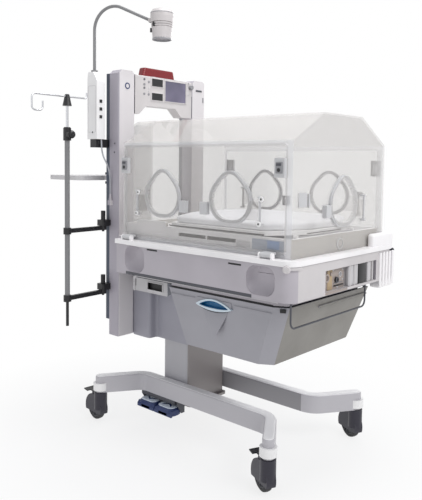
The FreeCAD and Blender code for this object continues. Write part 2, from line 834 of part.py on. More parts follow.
def chassis():
    """Moulded bed body: lip, skirt, hand scoops, slots, foot window and hinge ears."""
    def slab(grow, low, high):
        side = f"chassis_side - {grow}"
        block = box((f"-(chassis_head - {grow})", f"chassis_foot - {grow}"), (f"-({side})", side),
                    (low, high))
        return soften(block, lambda edge: "chassis_corner" if runs_along(edge, "z")
                      and edge.CenterOfMass.x > 0 else ("8" if runs_along(edge, "z") else None))

    skirt = slab("lip_step", "chassis_bottom", "lip_bottom")
    lip = slab("0", "lip_bottom", "chassis_top")
    neck = box(("-upright_foot", "-(chassis_head - 2 * lip_step)"), ("-neck_side", "neck_side"),
               ("chassis_bottom", "chassis_top"))
    block = box(("hood_foot + 2", "chassis_foot - 5"), ("172", "322"), ("lip_bottom", "chassis_top + 45"))
    upper = number("chassis_top + 44")
    block = soften(block, lambda edge: "10" if runs_along(edge, "z") or edge.CenterOfMass.z > upper else None)
    body = fuse(skirt, lip, neck, block)
    tools = []
    for low, high, top in (("-204", "-99", "736"), ("370", "479", "731")):
        scoop = box((low, high), ("-chassis_side - 1", "-(body_side - scoop_depth)"),
                    ("chassis_bottom + 12", top))
        tools.append(soften(scoop, lambda edge: "scoop_corner" if runs_along(edge, "y") else None))
    for low, high, top in (("-86", "-32", "734"), ("296", "349", "729")):
        tools.append(box((low, high), ("-chassis_side - 1", "-(body_side - 12)"), (f"{top} - 6", top)))
    tools.append(box(("chassis_foot - window_depth", "chassis_foot + 1"),
                     ("-window_head_side", "window_rear_side"),
                     ("chassis_bottom + window_sill", "window_top")))
    body = cut(body, *tools)
    ears = []
    for side in (-1, 1):
        for middle in ("-door_hinge_head", "door_hinge_foot"):
            half = "door_hinge_length / 2"
            for low, high in ((f"{middle} - {half} - door_ear", f"{middle} - {half} - running_gap"),
                              (f"{middle} + {half} + running_gap", f"{middle} + {half} + door_ear")):
                pivot = (f"{side} * door_hinge_side", "door_hinge_height")
                ears.append(rod("x", pivot, "door_barrel", low, high))
                ears.append(box((low, high), side_span(side, "door_hinge_side - door_barrel",
                                                       "door_hinge_side + door_barrel"),
                                ("chassis_top - 1", "door_hinge_height")))
            ears.append(rod("x", (f"{side} * door_hinge_side", "door_hinge_height"), "door_pin",
                            f"{middle} - {half} - door_ear", f"{middle} + {half} + door_ear"))
    return keep("chassis", fuse(body, *ears))


def connector_panel():
    """Socket plate and upright louvres inside the foot window."""
    back = "chassis_foot - window_depth"
    low = "chassis_bottom + window_sill"
    plate = box((back, f"{back} + 8"), ("-window_head_side", "0"), (low, "window_top"))
    parts = [plate]
    for y, z, radius in (("-112", "680", "14"), ("-84", "690", "6"), ("-50", "668", "9")):
        parts.append(rod("x", (y, z), radius, f"{back} + 7", f"{back} + 14"))
    plate = fuse(*parts)
    plate = cut(plate, rod("x", ("-112", "680"), "9", f"{back} + 9", f"{back} + 15"))
    louvres = []
    for index in range(6):
        y = f"12 + {index} * 31"
        louvres.append(prism("XY_Plane", [
            (back, y), (f"{back} + 22", f"{y} + 6"), (f"{back} + 22", f"{y} + 12"), (back, f"{y} + 18")],
            low, "window_top"))
    return keep("connector_panel", group(plate, *louvres))


def upright(name, side):
    """Column with a bevelled cap and softened corners towards the hood."""
    cap = "upright_top - upright_bevel"
    corners = [("upright_inner", "upright_bottom"), ("neck_side", "upright_bottom"), ("neck_side", cap),
               ("neck_side - upright_bevel", "upright_top"), ("upright_inner + upright_bevel", "upright_top"),
               ("upright_inner", cap)]
    post = prism("YZ_Plane", [(f"{side} * ({y})", z) for y, z in corners], "-upright_head", "-upright_foot")
    post = soften(post, lambda edge: "7" if runs_along(edge, "z")
                  and edge.CenterOfMass.x > -number("upright_head") + 1 else None)
    return keep(name, fuse(post, *cord_gland()) if side < 0 else post)


def cord_gland():
    """Block, nut and tapered sleeve where the lamp cord enters the front upright."""
    x, y = "-gland_head", "-gland_side"
    top = "gland_top"
    return (box((f"{x} - 8", f"{x} + 8"), (f"{y} - 7", "-neck_side + 1"), (f"{top} - 44", f"{top} - 26")),
            rod("z", (x, y), "gland_radius", f"{top} - 27", f"{top} - 18"),
            rod("z", (x, y), "gland_radius - 1", f"{top} - 19", f"{top} - 0.1", "cord_radius + 0.8"))


def accessory_rails():
    """Slotted mounting rails on the head side of both uprights."""
    rails = []
    for side in (-1, 1):
        near, far = "upright_inner + rail_inset", "neck_side - rail_inset"
        middle = f"(({near}) + ({far})) / 2"
        bar = box(("-rail_head", "-upright_head"), side_span(side, near, far),
                  ("upright_bottom + 60", "upright_top - 12"))
        slot = box(("-rail_head - 1", "-(rail_head - 8)"),
                   side_span(side, f"{middle} - rail_slot / 2", f"{middle} + rail_slot / 2"),
                   ("upright_bottom + 50", "upright_top"))
        undercut = box(("-(rail_head - 7)", "-(upright_head + 5)"),
                       side_span(side, f"{middle} - rail_undercut / 2", f"{middle} + rail_undercut / 2"),
                       ("upright_bottom + 50", "upright_top"))
        rails.append(cut(bar, slot, undercut))
    return keep("accessory_rails", group(*rails))


WINDOWS = (("-72", "-11", "1352", "1383"), ("-72", "-11", "1296", "1325"), ("3", "124", "1297", "1381"))
KEYS = (("-112", "1376"), ("-112", "1355"), ("-112", "1341"), ("-112", "1317"),
        ("-88", "1367"), ("-88", "1317"))


def control_panel():
    """Display housing between the uprights, arched underneath, with a hump on top."""
    body = prism("YZ_Plane", [
        ("-upright_inner", "panel_top"), ("-upright_inner", "panel_bottom"),
        ("-(panel_arch_front + 38)", "panel_bottom"), ("-panel_arch_front", "panel_arch"),
        ("panel_arch_rear", "panel_arch"), ("panel_arch_rear + 38", "panel_bottom"),
        ("upright_inner", "panel_bottom"), ("upright_inner", "panel_top")], "-panel_back", "-panel_face")
    body = soften(body, lambda edge: "5" if edge.CenterOfMass.z > number("panel_top") - 1e-3
                  and runs_along(edge, "y") else None)
    tools = [box(("-(panel_face + window_thick)", "-panel_face + 1"), (low, high), (bottom, top))
             for low, high, bottom, top in WINDOWS]
    tools.append(rod("x", ("knob_side", "knob_height"), "knob_radius * 0.3 + shaft_gap",
                     "-(panel_face + 14)", "-panel_face + 1"))
    return keep("control_panel", cut(body, *tools))


def display_windows():
    """Three display panes set flush in the panel."""
    panes = [box(("-(panel_face + window_thick)", "-panel_face + 0.5"), (low, high), (bottom, top))
             for low, high, bottom, top in WINDOWS]
    return keep("display_windows", group(*panes))


def keypad():
    """Raised keys beside the displays."""
    keys = [rod("x", spot, "key_radius", "-panel_face", "-panel_face + key_height") for spot in KEYS]
    return keep("keypad", group(*keys))


def alarm_bar():
    """Alarm light with sloping ends, seated on top of the panel."""
    bar = prism("YZ_Plane", [
        ("-alarm_front", "panel_top"), ("alarm_rear", "panel_top"),
        ("alarm_rear - 9", "panel_top + alarm_height"), ("-(alarm_front - 9)", "panel_top + alarm_height")],
        "-(panel_back - 8)", "-(panel_face + 6)")
    return keep("alarm_bar",
                soften(bar, lambda edge: "7" if edge.CenterOfMass.z > number("panel_top") + 5 else None))


def control_knob():
    """Turning knob on a short shaft in the panel."""
    spot = ("knob_side", "knob_height")
    cap = rod("x", spot, "knob_radius", "-panel_face + running_gap", "-panel_face + knob_length")
    shaft = rod("x", spot, "knob_radius * 0.3", "-(panel_face + 12)", "-panel_face + 2")
    cap = soften(cap, lambda edge: "2" if edge.CenterOfMass.x > -number("panel_face") + 5
                 and edge.Curve.TypeId == "Part::GeomCircle" else None)
    return keep("control_knob", fuse(cap, shaft))


# Drawer


def drawer_plan(inset, head, foot, front, rear):
    """Plan outline with the front foot corner cut off."""
    return [
        (f"drawer_head + {head} + {inset}", f"-(drawer_front - {front} - {inset})"),
        (f"drawer_foot - {foot} - drawer_corner_long", f"-(drawer_front - {front} - {inset})"),
        (f"drawer_foot - {foot} - {inset}", f"-(drawer_front - {front} - drawer_corner_short)"),
        (f"drawer_foot - {foot} - {inset}", f"drawer_rear - {rear} - {inset}"),
        (f"drawer_head + {head} + {inset}", f"drawer_rear - {rear} - {inset}")]


def loft(lower, lower_level, upper, upper_level):
    """Solid lofted between two plan outlines."""
    body = document.addObject("PartDesign::Body", "Body")
    first = outline(body, "XY_Plane", lower)
    first.setExpression("AttachmentOffset.Base.z", formula(lower_level))
    second = outline(body, "XY_Plane", upper)
    second.setExpression("AttachmentOffset.Base.z", formula(upper_level))
    solid = body.newObject("PartDesign::AdditiveLoft", "Loft")
    solid.Profile = first
    solid.Sections = [second]
    solid.Ruled = True
    return body


TAPER = ("drawer_taper_head", "drawer_taper_foot", "drawer_taper_front", "drawer_taper_rear")


def drawer():
    """Tapered bin with its fascia, a finger recess, and lips that ride on the runners."""
    outer = loft(drawer_plan("0", *TAPER), "drawer_bottom", drawer_plan("0", "0", "0", "0", "0"),
                 "drawer_top")
    inner = loft(drawer_plan("drawer_wall", *TAPER), "drawer_bottom + drawer_wall",
                 drawer_plan("drawer_wall", "0", "0", "0", "0"), "drawer_top + 1")
    fascia_keep = box(("drawer_head - 1", "drawer_foot + 1"),
                      ("-(drawer_front - drawer_fascia)", "drawer_rear + 1"),
                      ("drawer_bottom", "drawer_top + 2"))
    hollow = document.addObject("Part::MultiCommon", "Hollow")
    hollow.Shapes = [inner, fascia_keep]
    recess = prism("XZ_Plane", [
        ("handle_head", "handle_top"), ("(handle_head + handle_foot) / 2 - 8", "handle_tip"),
        ("(handle_head + handle_foot) / 2 + 8", "handle_tip"), ("handle_foot", "handle_top")],
        "-(drawer_front + 1)", "-(drawer_front - handle_depth)")
    shell = cut(outer, hollow, recess)
    lips = []
    for low, high in (("drawer_head + drawer_wall - 1", "runner_inner_head"),
                      ("runner_inner_foot", "drawer_foot - drawer_wall + 1")):
        lips.append(box((low, high), ("-lip_front", "drawer_rear - drawer_wall + 1"),
                        ("runner_ledge + running_gap", "runner_ledge + 6")))
    notches = []
    for low, high in (("runner_inner_head - runner_foot", "runner_inner_head + runner_wall"),
                      ("runner_inner_foot - runner_wall", "runner_inner_foot + runner_foot")):
        notches.append(box((f"{low} - 2", f"{high} + 2"),
                           ("drawer_rear - 3 * drawer_wall", "drawer_rear + 2"),
                           ("runner_ledge - runner_wall - 2", "drawer_top + 1")))
    return keep("drawer", cut(fuse(shell, *lips), *notches))


def drawer_handle():
    """Scoop handle set in the top of the finger recess."""
    middle = "(handle_head + handle_foot) / 2"
    top, low = "handle_top", "handle_top - handle_height"
    slope = "(handle_foot - handle_head - 16) / 2 / (handle_top - handle_tip)"
    face = prism("XZ_Plane", [
        ("handle_head", top), (f"handle_head + handle_height * {slope}", low),
        (f"handle_foot - handle_height * {slope}", low), ("handle_foot", top)],
        "-(drawer_front + 3)", "-(drawer_front - handle_depth)")
    scoop = prism("YZ_Plane", [
        ("-(drawer_front - 1)", f"{low} - 1"), ("-(drawer_front - 4)", f"{top} - 8"),
        ("-(drawer_front - handle_depth + 3)", f"{top} - 5"),
        ("-(drawer_front - handle_depth + 2)", f"{low} - 1")],
        f"{middle} - 52", f"{middle} + 52")
    return keep("drawer_handle", cut(face, scoop))


def drawer_frame():
    """Band under the chassis with two ledged runners inside the drawer."""
    plan = drawer_plan("frame_step", "0", "0", "0", "0")
    band = prism("XY_Plane", plan, "frame_bottom", "chassis_bottom")
    runners = []
    span = ("-(drawer_front - drawer_fascia - 16)", "drawer_rear - 4 * drawer_wall")
    ledge = ("runner_ledge - runner_wall", "runner_ledge")
    web = ("runner_ledge - runner_wall", "frame_bottom + 1")
    runners.append(box(("runner_inner_head + running_gap", "runner_inner_head + runner_wall"), span, web))
    runners.append(box(("runner_inner_head - runner_foot", "runner_inner_head + runner_wall"), span, ledge))
    runners.append(box(("runner_inner_foot - runner_wall", "runner_inner_foot - running_gap"), span, web))
    runners.append(box(("runner_inner_foot - runner_wall", "runner_inner_foot + runner_foot"), span, ledge))
    return keep("drawer_frame", fuse(band, *runners))


# Deck and bed


def bed_deck():
    """Heated deck with vent slots, a raised rim with hose grommets, and tilt brackets."""
    def plate(low, high):
        block = box(("-deck_head", "deck_foot"), ("-deck_side", "deck_side"), (low, high))
        return soften(block, lambda edge: "deck_corner" if runs_along(edge, "z")
                      and edge.CenterOfMass.x > 0 else None)

    vents = []
    for low, high in (("vent_head", "(vent_head + vent_foot) / 2 - 3"),
                      ("(vent_head + vent_foot) / 2 + 3", "vent_foot")):
        vents.append(box((low, high), ("-deck_side - 1", "-(deck_side - 8)"), ("vent_low", "vent_low + 12")))
    well = box(("-deck_head + deck_wall", "deck_foot - deck_wall"),
               ("-(deck_side - deck_wall)", "deck_side - deck_wall"), ("deck_top - 1", "deck_rim + 1"))
    hose = box(("-190", "-35"), ("-deck_side", "-(deck_side - deck_wall)"), ("deck_rim - 1", "deck_rim + 16"))
    upper = number("deck_rim + 15")
    hose = soften(hose, lambda edge: "12" if runs_along(edge, "y") and edge.CenterOfMass.z > upper else None)
    grommet = rod("x", ("0", "deck_top - 18"), "15", "deck_foot - 2", "deck_foot + 2")
    brackets = []
    for side in (-1, 1):
        span = side_span(side, "tilt_bar_side + tilt_bar_width + 1", "tilt_bar_side + tilt_bar_width + 11")
        block = box(("-(tilt_head + 8)", "-(tilt_head - 8)"), span, ("deck_top", "tilt_height + 6"))
        brackets.append(cut(block, rod("y", ("-tilt_head", "tilt_height"), "tilt_pin + shaft_gap",
                                       f"{span[0]} - 1", f"{span[1]} + 1")))
    slab = fuse(cut(plate("chassis_top", "deck_top"), *vents), grommet)
    rim = fuse(cut(plate("deck_top", "deck_rim"), well), hose)
    return keep("bed_deck", group(slab, rim, *brackets))


def tilt_frame():
    """Lifting frame under the tray, hinged at the head end, with the foot-end pin."""
    bars = [box(("-(tilt_head + 6)", "tilt_foot + 5"),
                side_span(side, "tilt_bar_side", "tilt_bar_side + tilt_bar_width"),
                ("tilt_bar_low", "tilt_bar_low + tilt_bar_height")) for side in (-1, 1)]
    bars += [box((low, high), ("-tilt_bar_side - 1", "tilt_bar_side + 1"),
                 ("tilt_bar_low", "tilt_bar_low + tilt_bar_height"))
             for low,
             high in (("-(tilt_head + 6)", "-(tilt_head - 14)"), ("tilt_foot - 15", "tilt_foot + 5"))]
    bars += [box((middle, f"{middle} + 40"),
                 side_span(side, "tilt_bar_side", "tilt_bar_side + tilt_bar_width"),
                 ("tilt_bar_low + 1", "tray_bottom - running_gap"))
             for side in (-1, 1) for middle in ("-(tilt_head - 20)", "tilt_foot - 60")]
    reach = "tilt_bar_side + tilt_bar_width + 11"
    pins = [rod("y", (x, "tilt_height"), "tilt_pin", f"-({reach})", reach) for x in ("-tilt_head",
                                                                                     "tilt_foot")]
    return keep("tilt_frame", fuse(*bars, *pins))


def tray_plan(inset):
    """Eight-sided plan of the tray and the mattress."""
    cut_long = f"tray_corner_long - {inset} / 3"
    cut_wide = f"tray_corner_wide - {inset} / 3"
    head, foot = f"-(tray_head - {inset})", f"tray_foot - {inset}"
    side = f"tray_side - {inset}"
    return [
        (f"{head} + {cut_long}", f"-({side})"), (f"{foot} - ({cut_long})", f"-({side})"),
        (foot, f"-({side} - ({cut_wide}))"), (foot, f"{side} - ({cut_wide})"),
        (f"{foot} - ({cut_long})", side), (f"{head} + {cut_long}", side),
        (head, f"{side} - ({cut_wide})"), (head, f"-({side} - ({cut_wide}))")]


def bed_platform():
    """Mattress tray with a shallow edge and the rounded lugs of its own hinge."""
    plate = prism("XY_Plane", tray_plan("0"), "tray_bottom", "tray_top")
    plate = soften(plate, lambda edge: "20" if runs_along(edge, "z") else None)
    pivot = ("tilt_foot", "tilt_height")
    lugs = []
    for side in (-1, 1):
        span = side_span(side, "tilt_bar_side + tilt_bar_width + 1", "tilt_bar_side + tilt_bar_width + 11")
        block = box(("tilt_foot - lug_radius", "tilt_foot + lug_radius"), span,
                    ("tilt_height", "tray_bottom + 1"))
        knuckle = fuse(block, rod("y", pivot, "lug_radius", *span))
        lugs.append(cut(knuckle, rod("y", pivot, "tilt_pin + shaft_gap", f"{span[0]} - 1", f"{span[1]} + 1")))
    return keep("bed_platform", fuse(plate, *lugs))


def mattress():
    """Plain closed cushion on the tray."""
    pad = prism("XY_Plane", tray_plan("mattress_inset"), "tray_top + running_gap",
                "tray_top + mattress_height")
    pad = soften(pad, lambda edge: "30" if runs_along(edge, "z") else None)
    return keep("mattress",
                soften(pad, lambda edge: "mattress_edge" if edge.BoundBox.ZLength < 1e-6 else None))


# Hood and doors


def hood_section(inset):
    """Cross-section of the hood, less a wall."""
    side, ridge = f"hood_side - {inset}", f"hood_ridge - {inset}"
    eaves = f"hood_eaves - {inset} * 0.4"
    shoulder = f"hood_ridge_side - {inset} * 0.3"
    low = "chassis_top" if inset == "0" else "chassis_top - 1"
    return [(f"-({side})", low), (side, low), (side, eaves), (shoulder, ridge),
            (f"-({shoulder})", ridge), (f"-({side})", eaves)]


def neck_section(inset):
    """Cross-section of the hood's narrow part between the uprights."""
    side, ridge = f"hood_neck_side - {inset}", f"hood_ridge - {inset}"
    shoulder = f"hood_ridge_side - {inset} * 0.3"
    drop = "(hood_neck_side - hood_ridge_side) * (hood_ridge - hood_eaves) / (hood_side - hood_ridge_side)"
    eaves = f"{ridge} - {drop}"
    low = "chassis_top" if inset == "0" else "chassis_top - 1"
    return [(f"-({side})", low), (side, low), (side, eaves), (shoulder, ridge),
            (f"-({shoulder})", ridge), (f"-({side})", eaves)]


def egg(grow, depth, **spot):
    """Rounded three-sided plug of tangent arcs, narrower at the top, extruded towards -Y."""
    corner = number(f"port_corner + {grow}")
    crown = number(f"port_crown + {grow}")
    flank = number(f"port_flank + {grow}")
    centres = [
        (FreeCAD.Vector(-number("port_spread"), -number("port_drop"), 0), corner),
        (FreeCAD.Vector(number("port_spread"), -number("port_drop"), 0), corner),
        (FreeCAD.Vector(0, number("port_rise"), 0), crown)]
    joints = []
    for index, (near, near_radius) in enumerate(centres):
        far, far_radius = centres[(index + 1) % 3]
        long_side, short_side = flank - near_radius, flank - far_radius
        gap = far - near
        along = (long_side ** 2 - short_side ** 2 + gap.Length ** 2) / (2 * gap.Length)
        height = math.sqrt(long_side ** 2 - along ** 2)
        inward = FreeCAD.Vector(-gap.y, gap.x, 0).normalize()
        hub = near + gap * (along / gap.Length) + inward * height
        leave = hub + (near - hub).normalize() * flank
        enter = hub + (far - hub).normalize() * flank
        middle = hub + (leave + enter - hub * 2).normalize() * flank
        joints.append((leave, middle, enter))
    body = document.addObject("PartDesign::Body", "Body")
    drawing = body.newObject("Sketcher::SketchObject", "Egg")
    drawing.AttachmentSupport = [(plane_of(body, "XZ_Plane"), "")]
    drawing.MapMode = "FlatFace"
    for index, (leave, middle, enter) in enumerate(joints):
        centre, radius = centres[(index + 1) % 3]
        following = joints[(index + 1) % 3][0]
        bulge = centre + (enter + following - centre * 2).normalize() * radius
        drawing.addGeometry(Part.Arc(leave, middle, enter), False)
        drawing.addGeometry(Part.Arc(enter, bulge, following), False)
    for index in range(6):
        drawing.addConstraint(Sketcher.Constraint("Coincident", index, 2 if turns(drawing, index) else 1,
                                                  (index + 1) % 6, 1 if turns(drawing, index + 1) else 2))
    pad = body.newObject("PartDesign::Pad", "Pad")
    pad.Profile = drawing
    pad.setExpression("Length", formula(depth))
    return place(body, **spot)


def turns(drawing, index):
    """True when an arc of the egg starts where the one before it ends."""
    arcs = drawing.Geometry
    here, before = arcs[index % 6], arcs[(index - 1) % 6]
    ends = (before.StartPoint, before.EndPoint)
    return min((here.StartPoint - point).Length for point in ends) < 1e-6


def hood():
    """Clear folded hood with its neck, two door openings, one porthole and a port plate."""
    outer = prism("YZ_Plane", hood_section("0"), "-hood_head", "hood_foot")
    inner = prism("YZ_Plane", hood_section("hood_wall"), "-(hood_head - hood_wall)", "hood_foot - hood_wall")
    neck = prism("YZ_Plane", neck_section("0"), "-hood_neck_head", "-(hood_head - 1)")
    throat = prism("YZ_Plane", neck_section("hood_wall"), "-(hood_neck_head - hood_wall)",
                   "-(hood_head - hood_wall - 1)")
    shell = cut(fuse(outer, neck), inner, throat)
    openings = [box(("-(door_head - door_lap)", "door_foot - door_lap"),
                    side_span(side, "hood_side - hood_wall - 1", "hood_side + 1"),
                    ("door_bottom + door_lap", "door_top - door_lap")) for side in (-1, 1)]
    port = {"x": "hood_foot - hood_wall - 1", "y": "0", "z": "port_height - 10", "axis": (0, 0, 1),
            "turn": "90"}
    ring_spot = dict(port, x="hood_foot - 1")
    ring = egg("0", "port_ring_height + 1", **ring_spot)
    plate = box(("hood_foot - 1", "hood_foot + 4"), ("-261", "-217"), ("911", "955"))
    bar = box(("hood_foot - 1", "hood_foot + 6"), ("-209", "-204"), ("908", "950"))
    shell = cut(fuse(shell, ring, plate, bar), *openings, egg("-port_ring", "40", **port))
    return keep("hood", fuse(shell, *port_fixings(1, "x", "0", "hood_foot")))


def port_fixings(sign, axis, middle, face):
    """Hinge pin with its lugs, and the keeper, of one porthole, on a wall's outer face."""
    top = f"{face} + (lid_outer - door_outer) + 3"
    depth = f"{face} + (lid_inner - door_outer) + port_lid / 2"
    z_low, z_high = "port_pin_low", "port_pin_low + port_pin_length"
    pin_at = f"{middle} + {sign} * port_hinge"
    half = "port_barrel"
    across = (f"{pin_at} - {half}", f"{pin_at} + {half}")
    keeper = (f"{middle} - {sign} * port_hinge * 0.86 - port_keeper / 2",
              f"{middle} - {sign} * port_hinge * 0.86 + port_keeper / 2")
    parts = []
    for low, high in ((z_low, f"{z_low} + port_lug"), (f"{z_high} - port_lug", z_high)):
        parts.append(oriented_box(axis, across, (f"{face} - 1", top), (low, high)))
    parts.append(oriented_box(axis, keeper, (f"{face} - 1", top), (f"{z_low} + 22", f"{z_low} + 62")))
    spot = (depth, pin_at) if axis == "x" else (pin_at, f"{axis}({depth})")
    parts.append(rod("z", spot, "port_pin", f"{z_low} + 1", f"{z_high} - 1"))
    return parts


def oriented_box(axis, across, out, up):
    """Block on a foot wall (axis x) or on a side wall (axis - or +)."""
    if axis == "x":
        return box(out, across, up)
    return box(across, side_span(1 if axis == "+" else -1, *out), up)


def door(name, side):
    """Clear access door with two ringed portholes, latch blocks and hinge arms."""
    skin = side_span(side, "door_inner", "door_outer")
    plate = box(("-door_head", "door_foot"), skin, ("door_bottom", "door_top"))
    plate = soften(plate, lambda edge: "10" if runs_along(edge, "y") else None)
    axis = "+" if side > 0 else "-"
    parts = [plate]
    holes = []
    for middle in ("port_head", "port_foot"):
        far_y = "ring_outer" if side > 0 else "-(door_outer - 1)"
        parts.append(egg("0", "port_ring_height + 1", x=middle, y=far_y, z="port_height"))
        holes.append(egg("-port_ring", "60", x=middle,
                         y="door_outer + 30" if side > 0 else "-(door_inner - 10)",
                         z="port_height"))
        parts += port_fixings(-1 if middle == "port_head" else 1, axis, middle, "door_outer")
    pockets = []
    for low in ("-door_head + 2", "door_foot - latch_width"):
        x = (low, f"{low} + latch_width")
        parts.append(box(x, side_span(side, "door_outer - 1", "door_outer + latch_height"),
                         ("latch_low", "latch_low + latch_length")))
        centre = f"{low} + latch_width / 2"
        pockets.append(box((f"{centre} - latch_button / 2", f"{centre} + latch_button / 2"),
                           side_span(side, "door_outer + 2", "door_outer + latch_height + 1"),
                           ("latch_low + 12", "latch_low + latch_length - 12")))
    bores = []
    for middle in ("-door_hinge_head", "door_hinge_foot"):
        x = (f"{middle} - door_hinge_length / 2", f"{middle} + door_hinge_length / 2")
        pivot = (f"{side} * door_hinge_side", "door_hinge_height")
        parts.append(rod("x", pivot, "door_barrel", *x))
        parts.append(box(x, side_span(side, "door_inner", "door_hinge_side"),
                         ("door_bottom", "door_bottom + door_barrel - 1")))
        bores.append(rod("x", pivot, "door_pin + shaft_gap", f"{x[0]} - 1", f"{x[1]} + 1"))
    return keep(name, cut(fuse(*parts), *holes, *pockets, *bores))


def door_latch(name, side, low):
    """Push button in a latch block."""
    centre = f"{low} + latch_width / 2"
    gap = "running_gap"
    button = box((f"{centre} - latch_button / 2 + {gap}", f"{centre} + latch_button / 2 - {gap}"),
                 side_span(side, "door_outer + 2 + latch_travel + running_gap",
                           "door_outer + latch_height + 4"),
                 (f"latch_low + 12 + {gap}", f"latch_low + latch_length - 12 - {gap}"))
    return keep(name, soften(button, lambda edge: "2" if runs_along(edge, "y") else None))


def porthole(name, middle, sign, side):
    """Clear porthole lid with its barrel, arm and finger tab."""
    face = "lid_outer" if side > 0 else "-lid_inner"
    lid = egg("-port_lid_inset", "port_lid", x=middle, y=face, z="port_height")
    skin = side_span(side, "lid_inner", "lid_outer")
    pin_at = f"{middle} + {sign} * port_hinge"
    depth = f"{side} * (lid_inner + port_lid / 2)"
    z = ("port_pin_low + port_lug + running_gap", "port_pin_low + port_pin_length - port_lug - running_gap")
    barrel = rod("z", (pin_at, depth), "port_barrel - 1.5", *z)
    arm = box(tuple(sorted_pair(sign, f"{middle} + {sign} * (port_spread + port_corner - 18)", pin_at)),
              skin, (f"{z[0]} + 9", f"{z[1]} - 9"))
    bore = rod("z", (pin_at, depth), "port_pin + shaft_gap", f"{z[0]} - 1", f"{z[1]} + 1")
    return keep(name, cut(fuse(lid, barrel, arm), bore))


def sorted_pair(sign, near, far):
    return (near, far) if sign > 0 else (far, near)


def foot_porthole():
    """The same lid on the foot wall of the hood."""
    base = "hood_foot - door_outer"
    spot = {"x": f"{base} + lid_inner", "y": "0", "z": "port_height - 10", "axis": (0, 0, 1), "turn": "90"}
    lid = egg("-port_lid_inset", "port_lid", **spot)
    depth = f"{base} + lid_inner + port_lid / 2"
    z = ("port_pin_low + port_lug + running_gap", "port_pin_low + port_pin_length - port_lug - running_gap")
    barrel = rod("z", (depth, "port_hinge"), "port_barrel - 1.5", *z)
    arm = box((f"{base} + lid_inner", f"{base} + lid_outer"),
              ("port_spread + port_corner - 18", "port_hinge"), (f"{z[0]} + 9", f"{z[1]} - 9"))
    bore = rod("z", (depth, "port_hinge"), "port_pin + shaft_gap", f"{z[0]} - 1", f"{z[1]} + 1")
    return keep("porthole_foot", cut(fuse(lid, barrel, arm), bore))


# Accessories


def lamp_box():
    """Lamp power box with sloping shoulders and the socket of the gooseneck."""
    box_body = prism("XZ_Plane", [
        ("-lamp_box_head", "lamp_box_bottom"), ("-lamp_box_foot", "lamp_box_bottom"),
        ("-lamp_box_foot", "lamp_box_shoulder"), ("-(neck_x - 16)", "lamp_box_top"),
        ("-(neck_x + 16)", "lamp_box_top"), ("-lamp_box_head", "lamp_box_shoulder")],
        "-lamp_box_front", "-lamp_box_rear")
    box_body = soften(box_body, lambda edge: "4" if runs_along(edge, "z") else None)
    socket = rod("z", ("-neck_x", "-neck_y"), "neck_stem + shaft_gap", "lamp_box_top - 26",
                 "lamp_box_top + 1")
    rockers = [box(("-(lamp_box_foot + 1)", "-lamp_box_foot + 2"), ("-(neck_y + 6)", "-(neck_y - 6)"),
                   (f"{level} - 6", f"{level} + 6")) for level in ("lamp_box_bottom + 86",
                                                                   "lamp_box_bottom + 116",
                                                                   "lamp_box_bottom + 146")]
    return keep("lamp_box", fuse(cut(box_body, socket), *rockers))


def gooseneck():
    """Flexible lamp neck, set in its bend, with its swivel stem and the head's barrel."""
    points = [(0, 0, number("lamp_box_top") + 4), (0, 0, number("lamp_box_top + neck_rise")),
              (number("neck_reach"), 0, number("lamp_box_top + neck_rise - neck_drop"))]
    tube = bent_rod(points, number("neck_radius"), lambda index: number("neck_bend"))
    stem = rod("z", ("0", "0"), "neck_stem", "lamp_box_top - 24", "lamp_box_top + 5")
    flange = rod("z", ("0", "0"), "neck_stem + 5", "lamp_box_top + running_gap", "lamp_box_top + 8")
    joint = ("lamp_joint_x", "lamp_box_top + lamp_joint_z")
    barrel = rod("y", joint, "lamp_barrel", "-7", "7")
    bore = rod("y", joint, "lamp_pin + shaft_gap", "-8", "8")
    neck = cut(fuse(tube, stem, flange, barrel), bore)
    return keep("gooseneck", place(neck, **lamp_spot()))


def lamp_spot():
    return {"x": "-neck_x", "y": "-neck_y", "axis": (0, 0, 1), "turn": "neck_turn"}


def lamp_head():
    """Tapered lamp drum with a finned collar, lens rim and tilt ears."""
    level = "lamp_box_top + lamp_joint_z"
    centre = "lamp_joint_x + lamp_top_radius + 3"
    drum = turned([
        ("0", "-70"), ("lamp_face_radius - 5", "-70"), ("lamp_face_radius - 5", "-74"),
        ("lamp_face_radius", "-74"), ("lamp_face_radius", "-64"), ("lamp_top_radius", "10"),
        ("lamp_top_radius", "lamp_length - 84"), ("lamp_top_radius - 6", "lamp_length - 74"),
        ("0", "lamp_length - 74")])
    drum = place(drum, x=centre, z=level)
    grooves = []
    for height in ("-30", "-22", "-14"):
        band = rod("z", (centre, "0"), "lamp_top_radius + 5", f"{level} + {height}",
                   f"{level} + {height} + 3")
        core = rod("z", (centre, "0"), "lamp_top_radius - 7", f"{level} + {height} - 1",
                   f"{level} + {height} + 4")
        grooves.append(cut(band, core))
    ears = []
    for side in (-1, 1):
        span = side_span(side, "7 + running_gap", "11")
        ears.append(rod("y", ("lamp_joint_x", level), "lamp_barrel - 2", *span))
        ears.append(box(("lamp_joint_x", "lamp_joint_x + 14"), span, (f"{level} - 6", f"{level} + 6")))
    pin = rod("y", ("lamp_joint_x", level), "lamp_pin", "-10", "10")
    relief = rod("y", ("lamp_joint_x", level), "lamp_barrel + 2", "-7 - running_gap", "7 + running_gap")
    head = fuse(cut(drum, *grooves, relief), pin, *ears)
    return keep("lamp_head", place(head, **lamp_spot()))


